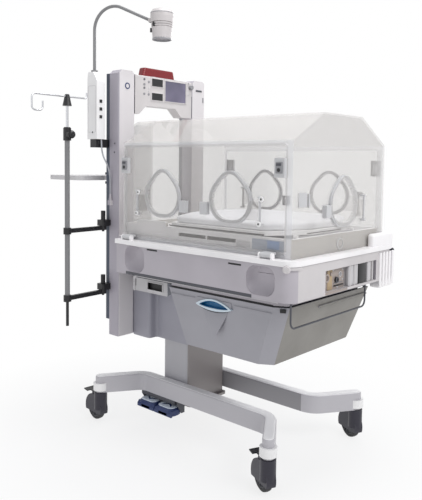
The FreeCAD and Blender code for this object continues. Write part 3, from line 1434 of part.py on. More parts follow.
def rail_clamps():
    """Clamp blocks on the front rail: lamp bracket, pole pins and shelf lugs."""
    front = "-neck_side"
    lamp = box(("-(rail_head + 20)", "-(lamp_box_foot + 13)"), ("-(lamp_box_front - 6)", front),
               ("lamp_box_bottom - 32", "lamp_box_bottom"))
    hook = box(("-(rail_head + 12)", "-rail_head"), ("-(neck_side + 2)", "-(upright_inner + 12)"),
               ("lamp_box_bottom - 32", "lamp_box_bottom - 4"))
    parts = [fuse(lamp, hook)]
    for level in ("arm_upper", "arm_lower"):
        block = box(("-(pole_pivot_x + 22)", "-(pole_pivot_x - 20)"), ("-(pole_pivot_y + 15)", front),
                    (f"{level} + pole_arm_height + running_gap", f"{level} + pole_arm_height + 24"))
        block = soften(block, lambda edge: "6" if runs_along(edge, "z")
                       and edge.CenterOfMass.y < -number("pole_pivot_y") else None)
        nub = box(("-(rail_head + 14)", "-rail_head"), ("-(neck_side - 8)", "-(upright_inner + 20)"),
                  (f"{level} + pole_arm_height + 2", f"{level} + pole_arm_height + 20"))
        link = box(("-(rail_head + 14)", "-rail_head"), ("-(neck_side + 4)", "-(neck_side - 9)"),
                   (f"{level} + pole_arm_height + 2", f"{level} + pole_arm_height + 20"))
        pivot = ("-pole_pivot_x", "-pole_pivot_y")
        pin = rod("z", pivot, "pole_pin", f"{level} - 6", f"{level} + pole_arm_height + 2")
        knob = rod("z", pivot, "pole_pin + 4", f"{level} + pole_arm_height + 23",
                   f"{level} + pole_arm_height + 60")
        parts.append(fuse(block, nub, link, pin, knob))
    lugs = []
    for low, high in (("shelf_top - shelf_thick - 14", "shelf_top - shelf_thick - 4 - running_gap"),
                      ("shelf_top + 4 + running_gap", "shelf_top + 14")):
        lugs.append(box(("-(shelf_pivot_x + 12)", "-rail_head"),
                        ("-(shelf_pivot_y + 16)", "-(shelf_pivot_y - 16)"),
                        (low, high)))
    spine = box(("-(rail_head + 5)", "-rail_head"), ("-(shelf_pivot_y + 16)", "-(shelf_pivot_y - 16)"),
                ("shelf_top - shelf_thick - 14", "shelf_top + 14"))
    pin = rod("z", ("-shelf_pivot_x", "-shelf_pivot_y"), "shelf_pin", "shelf_top - shelf_thick - 14",
              "shelf_top + 14")
    parts.append(fuse(spine, pin, *lugs))
    return keep("rail_clamps", group(*parts))


def pole_arm():
    """Two swing arms with hubs, carrying the pole tube with its tip and top clamp."""
    spot = ("-pole_x", "-pole_y")
    parts = [rod("z", spot, "pole_radius", "pole_tip_top", "pole_top"),
             rod("z", spot, "pole_radius - 4", "pole_bottom", "pole_tip_top + 1"),
             rod("z", spot, "pole_radius + 5", "pole_top - 42", "pole_top + 4"),
             rod("x", ("-pole_y", "pole_top - 20"), "15", "-(pole_x - pole_radius - 4)",
                 "-(pole_x - pole_radius - 20)")]
    bores = [rod("z", spot, "pole_rod + shaft_gap", "pole_rod_bottom - 5", "pole_top + 5")]
    for level in ("arm_upper", "arm_lower"):
        top = f"{level} + pole_arm_height"
        pivot = ("-pole_pivot_x", "-pole_pivot_y")
        parts.append(rod("z", pivot, "pole_hub", level, top))
        parts.append(rod("z", spot, "pole_radius + 5", f"{level} - 4", f"{top} + 4"))
        parts.append(prism("XY_Plane", [
            ("-(pole_pivot_x + 7)", "-pole_pivot_y"), ("-(pole_pivot_x - 7)", "-pole_pivot_y"),
            ("-(pole_x - 7)", "-pole_y"), ("-(pole_x + 7)", "-pole_y")], level, top))
        bores.append(rod("z", pivot, "pole_pin + shaft_gap", f"{level} - 1", f"{top} + 1"))
    return keep("pole_arm", cut(fuse(*parts), *bores))


def iv_rod():
    """Sliding hanger rod with a conical cap and a cross bar ending in hooks."""
    spot = ("-pole_x", "-pole_y")
    stem = rod("z", spot, "pole_rod", "pole_rod_bottom", "pole_rod_top")
    cap = rod("z", spot, "17", "hook_height - 34", "hook_height + 8", small="8")
    x, z = -number("pole_x"), number("hook_height")
    y = -number("pole_y")
    near = [(x, y, z), (x, y - 148, z), (x, y - 148, z - 58), (x, y - 104, z - 58), (x, y - 104, z - 24)]
    far = [(x, y, z), (x, y + 88, z), (x, y + 88, z + 22)]
    bar = bent_rod(near, number("hook_radius"), lambda index: 14)
    other = bent_rod(far, number("hook_radius"), lambda index: 9)
    return keep("iv_rod", fuse(stem, cap, bar, other))


def shelf():
    """Side shelf with rounded corners, an under-rim and the boss of its swivel."""
    top = box(("-shelf_head", "-shelf_foot"), ("-shelf_front", "-shelf_rear"),
              ("shelf_top - shelf_thick", "shelf_top"))
    top = soften(top, lambda edge: "shelf_corner" if runs_along(edge, "z") else None)
    hollow = box(("-(shelf_head - 6)", "-(shelf_foot + 6)"), ("-(shelf_front - 6)", "-(shelf_rear + 6)"),
                 ("shelf_top - shelf_thick - 1", "shelf_top - 6"))
    hollow = soften(hollow, lambda edge: "shelf_corner - 6" if runs_along(edge, "z") else None)
    arm = box(("-(shelf_foot + 60)", "-shelf_pivot_x"), ("-(shelf_pivot_y + 14)", "-(shelf_pivot_y - 14)"),
              ("shelf_top - shelf_thick + 1", "shelf_top - 2"))
    boss = rod("z", ("-shelf_pivot_x", "-shelf_pivot_y"), "shelf_boss", "shelf_top - shelf_thick - 4",
               "shelf_top + 4")
    bore = rod("z", ("-shelf_pivot_x", "-shelf_pivot_y"), "shelf_pin + shaft_gap",
               "shelf_top - shelf_thick - 5", "shelf_top + 5")
    return keep("shelf", cut(fuse(cut(top, hollow), arm, boss), bore))


def wire_bail():
    """Bent wire handle under the foot end."""
    x, top = number("bail_x"), number("chassis_bottom")
    front, rear, low = -number("bail_front"), number("bail_rear"), number("bail_bottom")
    wire = bent_rod([(x, front, top), (x, front, low), (x, rear, low), (x, rear, top)],
                          number("bail_radius"), lambda index: number("bail_bend"))
    return keep("wire_bail", wire)


CORD_ROUTE = [(-397, -284, 1129), (-397, -284, 1096), (-394, -277, 1060), (-387, -262, 1030),
              (-383, -252, 990), (-384, -250, 950), (-384, -250, 915)]


def lamp_cord():
    """Mains cord hanging from the lamp box to a gland on the upright."""
    def easy_radius(index):
        before, corner, after = (FreeCAD.Vector(*CORD_ROUTE[index + step]) for step in (-1, 0, 1))
        back, ahead = before - corner, after - corner
        turn = math.pi - back.getAngle(ahead)
        radius = 0.45 * min(back.Length, ahead.Length) / math.tan(turn / 2)
        print(f"cord radius at point {index}: {radius:.0f} mm")
        return radius

    tube = bent_rod(CORD_ROUTE, number("cord_radius"), easy_radius)
    section = math.pi * number("cord_radius") ** 2
    path = bent_wire(CORD_ROUTE, easy_radius)
    print(f"cord volume {tube.Shape.Volume:.0f}, section by length {section * path.Length:.0f}")
    return keep("lamp_cord", tube)


def build():
    """Make every sub-part in the order of assembly."""
    base_beam("base_beam_front", -1)
    base_beam("base_beam_rear", 1)
    caster_sockets()
    base_plate()
    lift_sleeve()
    lift_actuator()
    pedal_bracket()
    pedal("pedal_down", -1)
    pedal("pedal_up", 1)
    for end in ("foot", "head"):
        for side in ("front", "rear"):
            caster_fork((end, side), side == "front")
            caster_wheel((end, side))
        brake_lever((end, "front"))
    lift_post()
    lower_housing()
    reservoir()
    chassis()
    connector_panel()
    upright("upright_front", -1)
    upright("upright_rear", 1)
    accessory_rails()
    control_panel()
    display_windows()
    keypad()
    alarm_bar()
    control_knob()
    drawer_frame()
    drawer()
    drawer_handle()
    bed_deck()
    tilt_frame()
    bed_platform()
    mattress()
    hood()
    for name, side in (("front", -1), ("rear", 1)):
        door(f"door_{name}", side)
        door_latch(f"door_latch_{name}_head", side, "-door_head + 2")
        door_latch(f"door_latch_{name}_foot", side, "door_foot - latch_width")
        porthole(f"porthole_{name}_head", "port_head", -1, side)
        porthole(f"porthole_{name}_foot", "port_foot", 1, side)
    foot_porthole()
    wire_bail()
    rail_clamps()
    lamp_box()
    lamp_cord()
    gooseneck()
    lamp_head()
    pole_arm()
    iv_rod()
    shelf()


def faults():
    """Names of failed features and of empty or broken sub-parts."""
    failed = [item.Label for item in document.Objects if "Invalid" in item.State or "Error" in item.State]
    broken = [label for label, item in nodes.items() if item.Shape.isNull() or not item.Shape.isValid()]
    return failed + broken


build()
document.recompute()
if faults():
    raise RuntimeError("failed: " + ", ".join(faults()))

whole = FreeCAD.BoundBox()
for part in nodes.values():
    whole.add(part.Shape.optimalBoundingBox(False))
shift = FreeCAD.Vector(-whole.Center.x, -whole.Center.y, -whole.ZMin)
print(f"origin shift {shift.x:.3f} {shift.y:.3f} {shift.z:.3f}")
os.makedirs("parts", exist_ok=True)
for label, part in nodes.items():
    shape = part.Shape.copy()
    shape.translate(shift)
    shape.exportStep(f"parts/{label}.step")
print(f"{len(nodes)} sub-parts")
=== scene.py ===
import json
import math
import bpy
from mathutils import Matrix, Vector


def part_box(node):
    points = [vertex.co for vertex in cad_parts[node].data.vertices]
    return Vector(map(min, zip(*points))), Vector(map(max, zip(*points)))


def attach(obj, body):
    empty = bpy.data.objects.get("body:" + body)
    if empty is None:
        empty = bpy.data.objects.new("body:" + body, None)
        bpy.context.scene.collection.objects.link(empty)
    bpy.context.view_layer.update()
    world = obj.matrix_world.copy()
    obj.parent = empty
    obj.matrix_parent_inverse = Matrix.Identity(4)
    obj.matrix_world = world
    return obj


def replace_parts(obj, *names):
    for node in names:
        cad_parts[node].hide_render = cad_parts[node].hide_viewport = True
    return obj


bl_info = {
    "name": "Infant Incubator",
    "version": (1, 0, 0),
    "blender": (4, 5, 0),
    "location": "View3D > Sidebar > Incubator",
    "description": "Finishes, soft parts and small fittings of a hospital infant incubator",
    "category": "Object",
}

import bpy
from mathutils import Matrix, Vector

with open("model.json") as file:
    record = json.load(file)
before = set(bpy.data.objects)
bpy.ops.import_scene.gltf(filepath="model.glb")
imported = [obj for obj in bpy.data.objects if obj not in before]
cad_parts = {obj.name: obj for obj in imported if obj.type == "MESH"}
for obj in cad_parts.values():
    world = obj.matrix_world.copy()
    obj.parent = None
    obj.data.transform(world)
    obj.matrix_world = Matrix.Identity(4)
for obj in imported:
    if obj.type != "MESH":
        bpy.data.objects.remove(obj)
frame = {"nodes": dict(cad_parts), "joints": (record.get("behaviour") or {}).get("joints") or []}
nodes = frame["nodes"]
joints = {joint["name"]: joint for joint in frame["joints"]}
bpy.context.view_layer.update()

# Where the middle between the casters lies in the frame, on the floor
MIDDLE = Vector((0.0675, 0.1306, 0.0))


def at(x, y, z):
    """A point measured from the middle between the casters: x to the foot end, y to the rear."""
    return MIDDLE + Vector((x, y, z))


def tone(red, green, blue):
    """A display colour from 0 to 255 as light."""
    return tuple(((channel / 255 + 0.055) / 1.055) ** 2.4 for channel in (red, green, blue))


def colour(name, description, *display):
    return bpy.props.FloatVectorProperty(
        name=name, description=description, subtype="COLOR", size=3, default=tone(*display)
    )


def length(name, description, default):
    return bpy.props.FloatProperty(
        name=name, description=description, default=default, unit="LENGTH", precision=4
    )


class PaintColours(bpy.types.PropertyGroup):
    leg: colour("Legs", "Powder coat of the two floor beams", 192, 190, 195)
    # Painted light: a lighter copy of the leg colour for the beams' top faces
    leg_top: colour("Leg tops", "Upper faces of the floor beams", 250, 249, 250)
    white: colour("White plastic", "End caps and light mouldings", 248, 247, 247)
    column: colour("Column", "Telescopic pedestal", 178, 177, 182)
    # Painted shade: a darker copy of the column colour for faces towards the foot end
    column_dark: colour("Column foot face", "Pedestal face towards the foot end", 150, 144, 143)
    lilac: colour("Uprights", "The two equipment columns", 226, 222, 224)
    # Painted shade: a darker copy of the upright colour for the columns' front and rear faces
    lilac_side: colour("Upright sides", "Sides of the two equipment columns", 176, 171, 181)
    slate: colour("Rail", "Anodised accessory rail", 56, 66, 84)
    panel: colour("Panel", "Control panel moulding", 212, 208, 208)
    chassis: colour("Bed housing", "Moulded housing under the hood", 210, 206, 207)
    deck: colour("Deck", "Bed deck under the hood", 242, 240, 241)
    # Painted light: a lighter copy of the housing colour for its rounded top
    lip: colour("Housing lip", "Rounded upper edge of the bed housing", 252, 250, 251)
    # Painted shade: a darker copy of the housing colour for its front and rear sides
    shell: colour("Bed housing front", "Side of the bed housing", 187, 182, 189)
    shell_low: colour("Lower housing", "Narrow housing over the pedestal", 160, 159, 169)
    drawer: colour("Drawer", "Tapered storage drawer", 162, 161, 168)
    # Painted shade: a darker copy of the drawer colour for its face towards the foot end
    drawer_end: colour("Drawer end", "Drawer face towards the foot end", 130, 127, 122)
    handle: colour("Drawer handle", "Soft moulded pull", 22, 104, 152)
    handle_rim: colour("Handle rim", "Pale rim of the drawer pull", 214, 228, 238)
    navy: colour("Pedal", "Foot pedal frame", 34, 52, 100)
    sky: colour("Pedal pad", "Pale tread of the foot pedals", 228, 238, 250)
    alarm: colour("Alarm bar", "Lens on top of the control panel", 122, 14, 24)
    ring: colour("Porthole ring", "Grey gaskets round the portholes", 206, 206, 208)
    rubber: colour("Rubber", "Tyres and grips", 34, 34, 37)
    hub: colour("Hub", "Caster hub and fork", 66, 67, 72)
    sheet: colour("Sheet", "Fitted sheet of the mattress", 244, 244, 247)


class PieceSizes(bpy.types.PropertyGroup):
    cord: length("Cord", "Diameter of the lamp cord", 0.006)
    screw: length("Screw", "Radius of the cover screws", 0.0035)
    swell: length("Swell", "How far the mattress crowns", 0.006)
    tyre_edge: length("Tyre edge", "Rounding of the tyres", 0.006)


def paints():
    return bpy.context.scene.incubator_colours


def sizes():
    return bpy.context.scene.incubator_sizes


# Finishes


class Finish:
    """A procedural material, put together from its shader inputs."""

    def __init__(self, name):
        self.material = bpy.data.materials.new(name)
        self.material.use_nodes = True
        self.tree = self.material.node_tree
        self.tree.nodes.clear()
        self.output = self.add("OutputMaterial")
        self.surface = self.add("BsdfPrincipled")
        self.join(self.surface.outputs[0], self.output.inputs["Surface"])
        self.place = self.add("TexCoord").outputs["Object"]

    def add(self, kind, **settings):
        node = self.tree.nodes.new("ShaderNode" + kind)
        for key, value in settings.items():
            setattr(node, key, value)
        return node

    def join(self, source, target):
        self.tree.links.new(source, target)

    def noise(self, scale, detail=3.0, stretch=(1, 1, 1)):
        spread = self.add("Mapping")
        spread.inputs["Scale"].default_value = stretch
        self.join(self.place, spread.inputs["Vector"])
        cloud = self.add("TexNoise")
        cloud.inputs["Scale"].default_value = scale
        cloud.inputs["Detail"].default_value = detail
        self.join(spread.outputs[0], cloud.inputs["Vector"])
        return cloud.outputs["Fac"]

    def span(self, source, low, high, start=0.3, stop=0.7):
        scale = self.add("MapRange")
        scale.inputs["From Min"].default_value = start
        scale.inputs["From Max"].default_value = stop
        scale.inputs["To Min"].default_value = low
        scale.inputs["To Max"].default_value = high
        self.join(source, scale.inputs["Value"])
        return scale.outputs["Result"]

    def blend(self, share, first, second):
        mix = self.add("Mix", data_type="RGBA")
        for socket, value in ((mix.inputs[6], first), (mix.inputs[7], second)):
            if isinstance(value, bpy.types.NodeSocket):
                self.join(value, socket)
            else:
                socket.default_value = (*value, 1)
        self.join(share, mix.inputs[0])
        return mix.outputs[2]

    def tint(self, source):
        self.join(source, self.surface.inputs["Base Color"])

    def relief(self, source, depth, strength=1.0):
        bump = self.add("Bump")
        bump.inputs["Distance"].default_value = depth
        bump.inputs["Strength"].default_value = strength
        self.join(source, bump.inputs["Height"])
        self.join(bump.outputs[0], self.surface.inputs["Normal"])

    def roughness(self, low, high, scale=9.0):
        self.join(self.span(self.noise(scale), low, high), self.surface.inputs["Roughness"])

    def value(self, **inputs):
        for key, amount in inputs.items():
            self.surface.inputs[key.replace("_", " ")].default_value = amount


def shade(colour_value, amount):
    return tuple(channel * amount for channel in colour_value)


def moulded(name, base, rough=0.42, grain=700.0, depth=0.00004, worn=0.90):
    """Injection moulded plastic: a fine texture, faint handling marks and uneven gloss."""
    finish = Finish(name)
    marks = finish.span(finish.noise(6.0, 5.0), 0.0, 1.0, 0.42, 0.72)
    finish.tint(finish.blend(marks, base, shade(base, worn)))
    finish.roughness(rough - 0.06, rough + 0.10)
    finish.relief(finish.noise(grain, 2.0), depth)
    finish.value(Specular_IOR_Level=0.45)
    return finish.material


def coated(name, base, rough=0.34, peel=260.0):
    """Powder coated metal: an orange peel skin over a slightly cloudy colour."""
    finish = Finish(name)
    cloud = finish.span(finish.noise(3.5, 4.0), 0.0, 1.0, 0.35, 0.75)
    finish.tint(finish.blend(cloud, base, shade(base, 0.93)))
    finish.roughness(rough, rough + 0.14, 5.0)
    finish.relief(finish.noise(peel, 2.0), 0.00008)
    finish.value(Coat_Weight=0.15, Coat_Roughness=0.25)
    return finish.material


def metal(name, base, rough=0.28, stretch=(1, 1, 40)):
    """Drawn or brushed metal with fine lines along its length."""
    finish = Finish(name)
    lines = finish.noise(90.0, 3.0, stretch)
    finish.tint(finish.blend(finish.span(lines, 0.0, 1.0), base, shade(base, 0.80)))
    finish.join(finish.span(lines, rough - 0.06, rough + 0.12), finish.surface.inputs["Roughness"])
    finish.relief(lines, 0.00002)
    finish.value(Metallic=1.0)
    return finish.material


def rubber(name, base, rough=0.62):
    """Rubber with pale dust caught in its low places."""
    finish = Finish(name)
    dust = finish.span(finish.noise(28.0, 6.0), 0.0, 0.35, 0.50, 0.80)
    finish.tint(finish.blend(dust, base, (0.16, 0.155, 0.15)))
    finish.roughness(rough - 0.08, rough + 0.16, 20.0)
    finish.relief(finish.noise(420.0, 3.0), 0.00006)
    return finish.material


def clear(name, tint, haze, rim, rough=0.03):
    """Clear acrylic: nearly unseen face on, milky at a slant as a painted reflection, with faint wiping
    marks.
    """
    finish = Finish(name)
    slant = finish.add("LayerWeight")
    slant.inputs["Blend"].default_value = 0.35
    # Painted reflection: opacity rises from the haze face on to the rim value at a slant
    body = finish.span(slant.outputs["Facing"], haze, rim, 0.05, 0.95)
    smear = finish.span(finish.noise(4.0, 6.0, (1, 1, 0.4)), 0.0, 0.05, 0.45, 0.75)
    total = finish.add("Math", operation="ADD")
    finish.join(body, total.inputs[0])
    finish.join(smear, total.inputs[1])
    finish.join(total.outputs[0], finish.surface.inputs["Alpha"])
    finish.tint(finish.blend(smear, tint, shade(tint, 0.9)))
    finish.roughness(rough, rough + 0.06, 12.0)
    finish.value(Specular_IOR_Level=0.5)
    return finish.material


def lens(name, base, glow=0.0, rough=0.12, gloss=0.8):
    """Tinted glossy plastic over something darker."""
    finish = Finish(name)
    depth = finish.add("LayerWeight")
    depth.inputs["Blend"].default_value = 0.4
    finish.tint(finish.blend(depth.outputs["Facing"], base, shade(base, 0.45)))
    finish.roughness(rough, rough + 0.06, 15.0)
    finish.value(Coat_Weight=gloss, Coat_Roughness=0.05)
    if glow:
        finish.value(Emission_Color=(*base, 1), Emission_Strength=glow)
    return finish.material


def woven(name, base, threads=1500.0, creases=0.0012):
    """A fitted cotton sheet: fine crossing threads over soft creases, its colour darkened along the creases
    as painted shade.
    """
    finish = Finish(name)
    warp = finish.add("TexWave", bands_direction="X")
    weft = finish.add("TexWave", bands_direction="Y")
    for wave in (warp, weft):
        wave.inputs["Scale"].default_value = threads / 20
        wave.inputs["Distortion"].default_value = 0.4
        finish.join(finish.place, wave.inputs["Vector"])
    cross = finish.add("Math", operation="MAXIMUM")
    finish.join(warp.outputs["Fac"], cross.inputs[0])
    finish.join(weft.outputs["Fac"], cross.inputs[1])
    folds = finish.noise(9.0, 4.0, (1, 2.2, 1))
    low = finish.add("Bump")
    low.inputs["Distance"].default_value = creases
    low.inputs["Strength"].default_value = 0.8
    finish.join(folds, low.inputs["Height"])
    fine = finish.add("Bump")
    fine.inputs["Distance"].default_value = 0.00012
    finish.join(cross.outputs[0], fine.inputs["Height"])
    finish.join(low.outputs[0], fine.inputs["Normal"])
    finish.join(fine.outputs[0], finish.surface.inputs["Normal"])
    # Painted shade: the colour darkens with the noise that also raises the creases
    finish.tint(finish.blend(finish.span(folds, 0.0, 1.0), base, shade(base, 0.90)))
    finish.roughness(0.78, 0.92)
    finish.value(Sheen_Weight=0.25)
    return finish.material


def screen(name, ground, glow):
    """A dark display behind glass, lit unevenly from its edge."""
    finish = Finish(name)
    haze = finish.span(finish.noise(7.0, 2.0), 0.0, 1.0)
    finish.tint(finish.blend(haze, ground, glow))
    finish.roughness(0.10, 0.18, 20.0)
    finish.value(Coat_Weight=0.6, Coat_Roughness=0.04)
    return finish.material


SIDES = (("front", -1), ("rear", 1))
CORNERS = tuple((side, end) for side in ("front", "rear") for end in ("head", "foot"))

made = {}


def finishes():
    """Every finish, made once."""
    if made:
        return made
    tint = paints()
    made.update(
        leg=coated("Leg powder coat", tint.leg),
        # Painted light on the beams' top faces and painted shade on the rear beam: lighter and darker copies
        # of the leg coat
        leg_top=coated("Leg powder coat, top", tint.leg_top),
        leg_low=coated("Leg powder coat, rear", shade(tint.leg, 0.55)),
        white=moulded("White plastic", tint.white),
        column=coated("Column enamel", tint.column),
        # Painted shade: a darker copy of the column enamel
        column_dark=coated("Column enamel, foot face", tint.column_dark),
        lilac=coated("Upright enamel", tint.lilac, 0.38),
        # Painted shade: a darker copy of the upright enamel
        lilac_side=coated("Upright enamel, sides", tint.lilac_side, 0.38),
        slate=coated("Rail anodising", tint.slate, 0.40),
        panel=moulded("Panel plastic", tint.panel, 0.46),
        chassis=moulded("Housing plastic", tint.chassis, 0.40),
        # Painted shade: a darker copy of the housing plastic
        shell=moulded("Housing side", tint.shell, 0.44),
        shell_low=moulded("Lower housing plastic", tint.shell_low, 0.44),
        drawer=moulded("Drawer plastic", tint.drawer, 0.40),
        # Painted shade: a darker copy of the drawer plastic
        drawer_end=moulded("Drawer plastic, end", tint.drawer_end, 0.40),
        handle=moulded("Handle plastic", tint.handle, 0.36),
        handle_rim=moulded("Handle rim", tint.handle_rim, 0.40),
        navy=moulded("Pedal plastic", tint.navy, 0.38),
        sky=moulded("Pedal tread", tint.sky, 0.50, 300.0, 0.0002),
        ring=moulded("Porthole ring plastic", tint.ring, 0.35),
        rubber=rubber("Tyre rubber", tint.rubber),
        hub=moulded("Caster plastic", tint.hub, 0.45),
        black=moulded("Black plastic", tone(26, 26, 29), 0.40),
        dark=moulded("Dark grey plastic", tone(78, 79, 86), 0.45),
        grey=moulded("Grey plastic", tone(150, 150, 154), 0.42),
        pale=moulded("Pale grey plastic", tone(206, 204, 206), 0.40),
        plate=moulded("Socket plate", tone(166, 154, 148), 0.42),
        blank=moulded("Blank plate", tone(170, 178, 192), 0.34),
        blue=moulded("Pale blue plate", tone(134, 160, 200), 0.34),
        tube=coated("Pole enamel", tone(128, 128, 130), 0.30),
        fork=moulded("Fork plastic", tone(44, 42, 54), 0.34),
        tan=moulded("Tan strip", tone(186, 164, 132), 0.5),
        steel=metal("Brushed steel", tone(205, 206, 210), 0.24),
        chrome=metal("Bright steel", tone(220, 221, 225), 0.12),
        alarm=lens("Alarm lens", tint.alarm, 0.15, 0.22, 0.1),
        acrylic=clear("Clear acrylic", tone(213, 210, 207), 0.120, 0.55),
        # Painted highlight: a whiter, more opaque copy of the acrylic for its cut edges and bends
        edge=clear("Acrylic edge", tone(240, 240, 242), 0.30, 0.75, 0.12),
        smoke=clear("Smoked tank plastic", tone(196, 200, 208), 0.55, 0.85, 0.15),
        glass=lens("Display glass", tone(20, 21, 27), gloss=0.15),
        screen=screen("Screen", tone(92, 88, 112), tone(128, 122, 148)),
        deck=moulded("Deck plastic", tint.deck, 0.40),
        # Painted shade: a darker copy of the deck plastic for faces towards the foot end
        deck_end=moulded("Deck plastic, end", tone(198, 194, 188), 0.40),
        lamp_shell=moulded("Lamp shell", tone(208, 203, 203), 0.36),
        # Painted light: a lighter copy of the housing plastic
        lip=moulded("Housing lip", tint.lip, 0.38),
        lamp=lens("Lamp glass", tone(246, 246, 240), 0.6),
        sheet=woven("Cotton sheet", tint.sheet),
        cord=rubber("Cord sheath", tone(176, 178, 184), 0.5),
    )
    return made


def smooth(part, angle=35):
    bpy.ops.object.select_all(action="DESELECT")
    part.select_set(True)
    bpy.context.view_layer.objects.active = part
    bpy.ops.object.shade_smooth_by_angle(angle=math.radians(angle))


def rims(part, wall=0.0062, share=0.22):
    """Faces along the cut edges of a clear sheet: flat groups that are narrow or only frame an opening."""
    flats = {}
    for face in part.data.polygons:
        normal = face.normal
        level = round(normal.dot(face.center) * 2000)
        flats.setdefault((round(normal.x, 2), round(normal.y, 2), round(normal.z, 2), level), []).append(face)
    found = set()
    for (x, y, z, _), faces in flats.items():
        across = (
            Vector((x, y, z)).orthogonal().normalized() if abs(z) > 0.99
            else Vector((-y, x, 0)).normalized()
        )
        up = Vector((x, y, z)).cross(across)
        spots = [part.data.vertices[index].co for face in faces for index in face.vertices]
        wide, tall = (max(s.dot(way) for s in spots) - min(s.dot(way) for s in spots) for way in (across, up))
        if min(wide, tall) < wall or sum(face.area for face in faces) < share * wide * tall:
            found.update(face.index for face in faces)
    return found


def paint(name, base, *coats):
    """Gives a node its finish. Each further coat is a finish and the rule for the faces that take it."""
    part = nodes[name]
    kinds = finishes()
    part.data.materials.clear()
    for finish in (base, *[coat[0] for coat in coats]):
        part.data.materials.append(kinds[finish])
    for face in part.data.polygons:
        face.material_index = 0
        for index, (_, rule) in enumerate(coats, 1):
            if rule(face.center - MIDDLE, face.normal, face):
                face.material_index = index


# Modelling


def start():
    if bpy.context.object and bpy.context.object.mode != "OBJECT":
        bpy.ops.object.mode_set(mode="OBJECT")
    bpy.ops.object.select_all(action="DESELECT")


def settle(piece):
    """Applies a piece's place and turn, so that its shape alone says where it is."""
    bpy.ops.object.transform_apply(location=True, rotation=True, scale=True)
    return piece


def joined(name, *parts):
    start()
    for part in parts:
        part.select_set(True)
    bpy.context.view_layer.objects.active = parts[0]
    if len(parts) > 1:
        bpy.ops.object.join()
    parts[0].name = name
    return parts[0]


def finished(piece, name, body, finish, angle=35):
    """Names a piece, gives it its finish and lets it ride on its body."""
    piece.name = name
    piece.data.name = name
    if finish:
        piece.data.materials.clear()
        piece.data.materials.append(finishes()[finish])
    smooth(piece, angle)
    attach(piece, body)
    return piece


def block(low, high, edge=0.001, steps=2):
    """A box between two corners with rounded edges."""
    start()
    low, high = Vector(low), Vector(high)
    bpy.ops.mesh.primitive_cube_add(size=1, location=(low + high) / 2)
    piece = bpy.context.object
    piece.scale = high - low
    settle(piece)
    bpy.ops.object.mode_set(mode="EDIT")
    bpy.ops.mesh.select_all(action="SELECT")
    bpy.ops.mesh.bevel(offset=edge, segments=steps, affect="EDGES")
    bpy.ops.object.mode_set(mode="OBJECT")
    return piece


def turned(profile, spot, direction, steps=32, arc=360):
    """A profile of (radius, height) points spun about an axis that points along direction."""
    start()
    mesh = bpy.data.meshes.new("turned")
    mesh.from_pydata(
        [(radius, 0, height) for radius, height in profile],
        [(index, index + 1) for index in range(len(profile) - 1)],
        [],
    )
    piece = bpy.data.objects.new("turned", mesh)
    bpy.context.collection.objects.link(piece)
    bpy.context.view_layer.objects.active = piece
    piece.select_set(True)
    bpy.ops.object.mode_set(mode="EDIT")
    bpy.ops.mesh.select_all(action="SELECT")
    bpy.ops.mesh.spin(
        steps=steps, angle=math.radians(arc), center=(0, 0, 0), axis=(0, 0, 1), use_auto_merge=False
    )
    bpy.ops.mesh.select_all(action="SELECT")
    bpy.ops.mesh.remove_doubles(threshold=0.00001)
    bpy.ops.mesh.normals_make_consistent(inside=False)
    bpy.ops.object.mode_set(mode="OBJECT")
    piece.rotation_euler = Vector(direction).to_track_quat("Z", "Y").to_euler()
    piece.location = spot
    return settle(piece)


def sheet_of(corners, depth, edge=0.0004, steps=2):
    """A flat outline pushed along depth into a plate with softened edges."""
    start()
    mesh = bpy.data.meshes.new("plate")
    mesh.from_pydata([tuple(corner) for corner in corners], [], [list(range(len(corners)))])
    piece = bpy.data.objects.new("plate", mesh)
    bpy.context.collection.objects.link(piece)
    bpy.context.view_layer.objects.active = piece
    piece.select_set(True)
    bpy.ops.object.mode_set(mode="EDIT")
    bpy.ops.mesh.select_all(action="SELECT")
    bpy.ops.mesh.extrude_region_move(TRANSFORM_OT_translate={"value": depth})
    bpy.ops.mesh.select_all(action="SELECT")
    bpy.ops.mesh.normals_make_consistent(inside=False)
    bpy.ops.object.mode_set(mode="OBJECT")
    if edge:
        bevel = piece.modifiers.new("edge", "BEVEL")
        bevel.width = edge
        bevel.segments = steps
        bevel.angle_limit = math.radians(30)
        bpy.ops.object.modifier_apply(modifier="edge")
    return piece


def round_outline(centre, wide, tall, across, up, corner, steps=6):
    """A rounded rectangle round a centre, on the plane of two directions."""
    across, up = Vector(across), Vector(up)
    points = []
    for index, (side, level) in enumerate(((1, 1), (-1, 1), (-1, -1), (1, -1))):
        middle = centre + across * side * (wide / 2 - corner) + up * level * (tall / 2 - corner)
        for step in range(steps + 1):
            turn = math.radians(90 * index + 90 * step / steps)
            points.append(middle + across * corner * math.cos(turn) + up * corner * math.sin(turn))
    return points


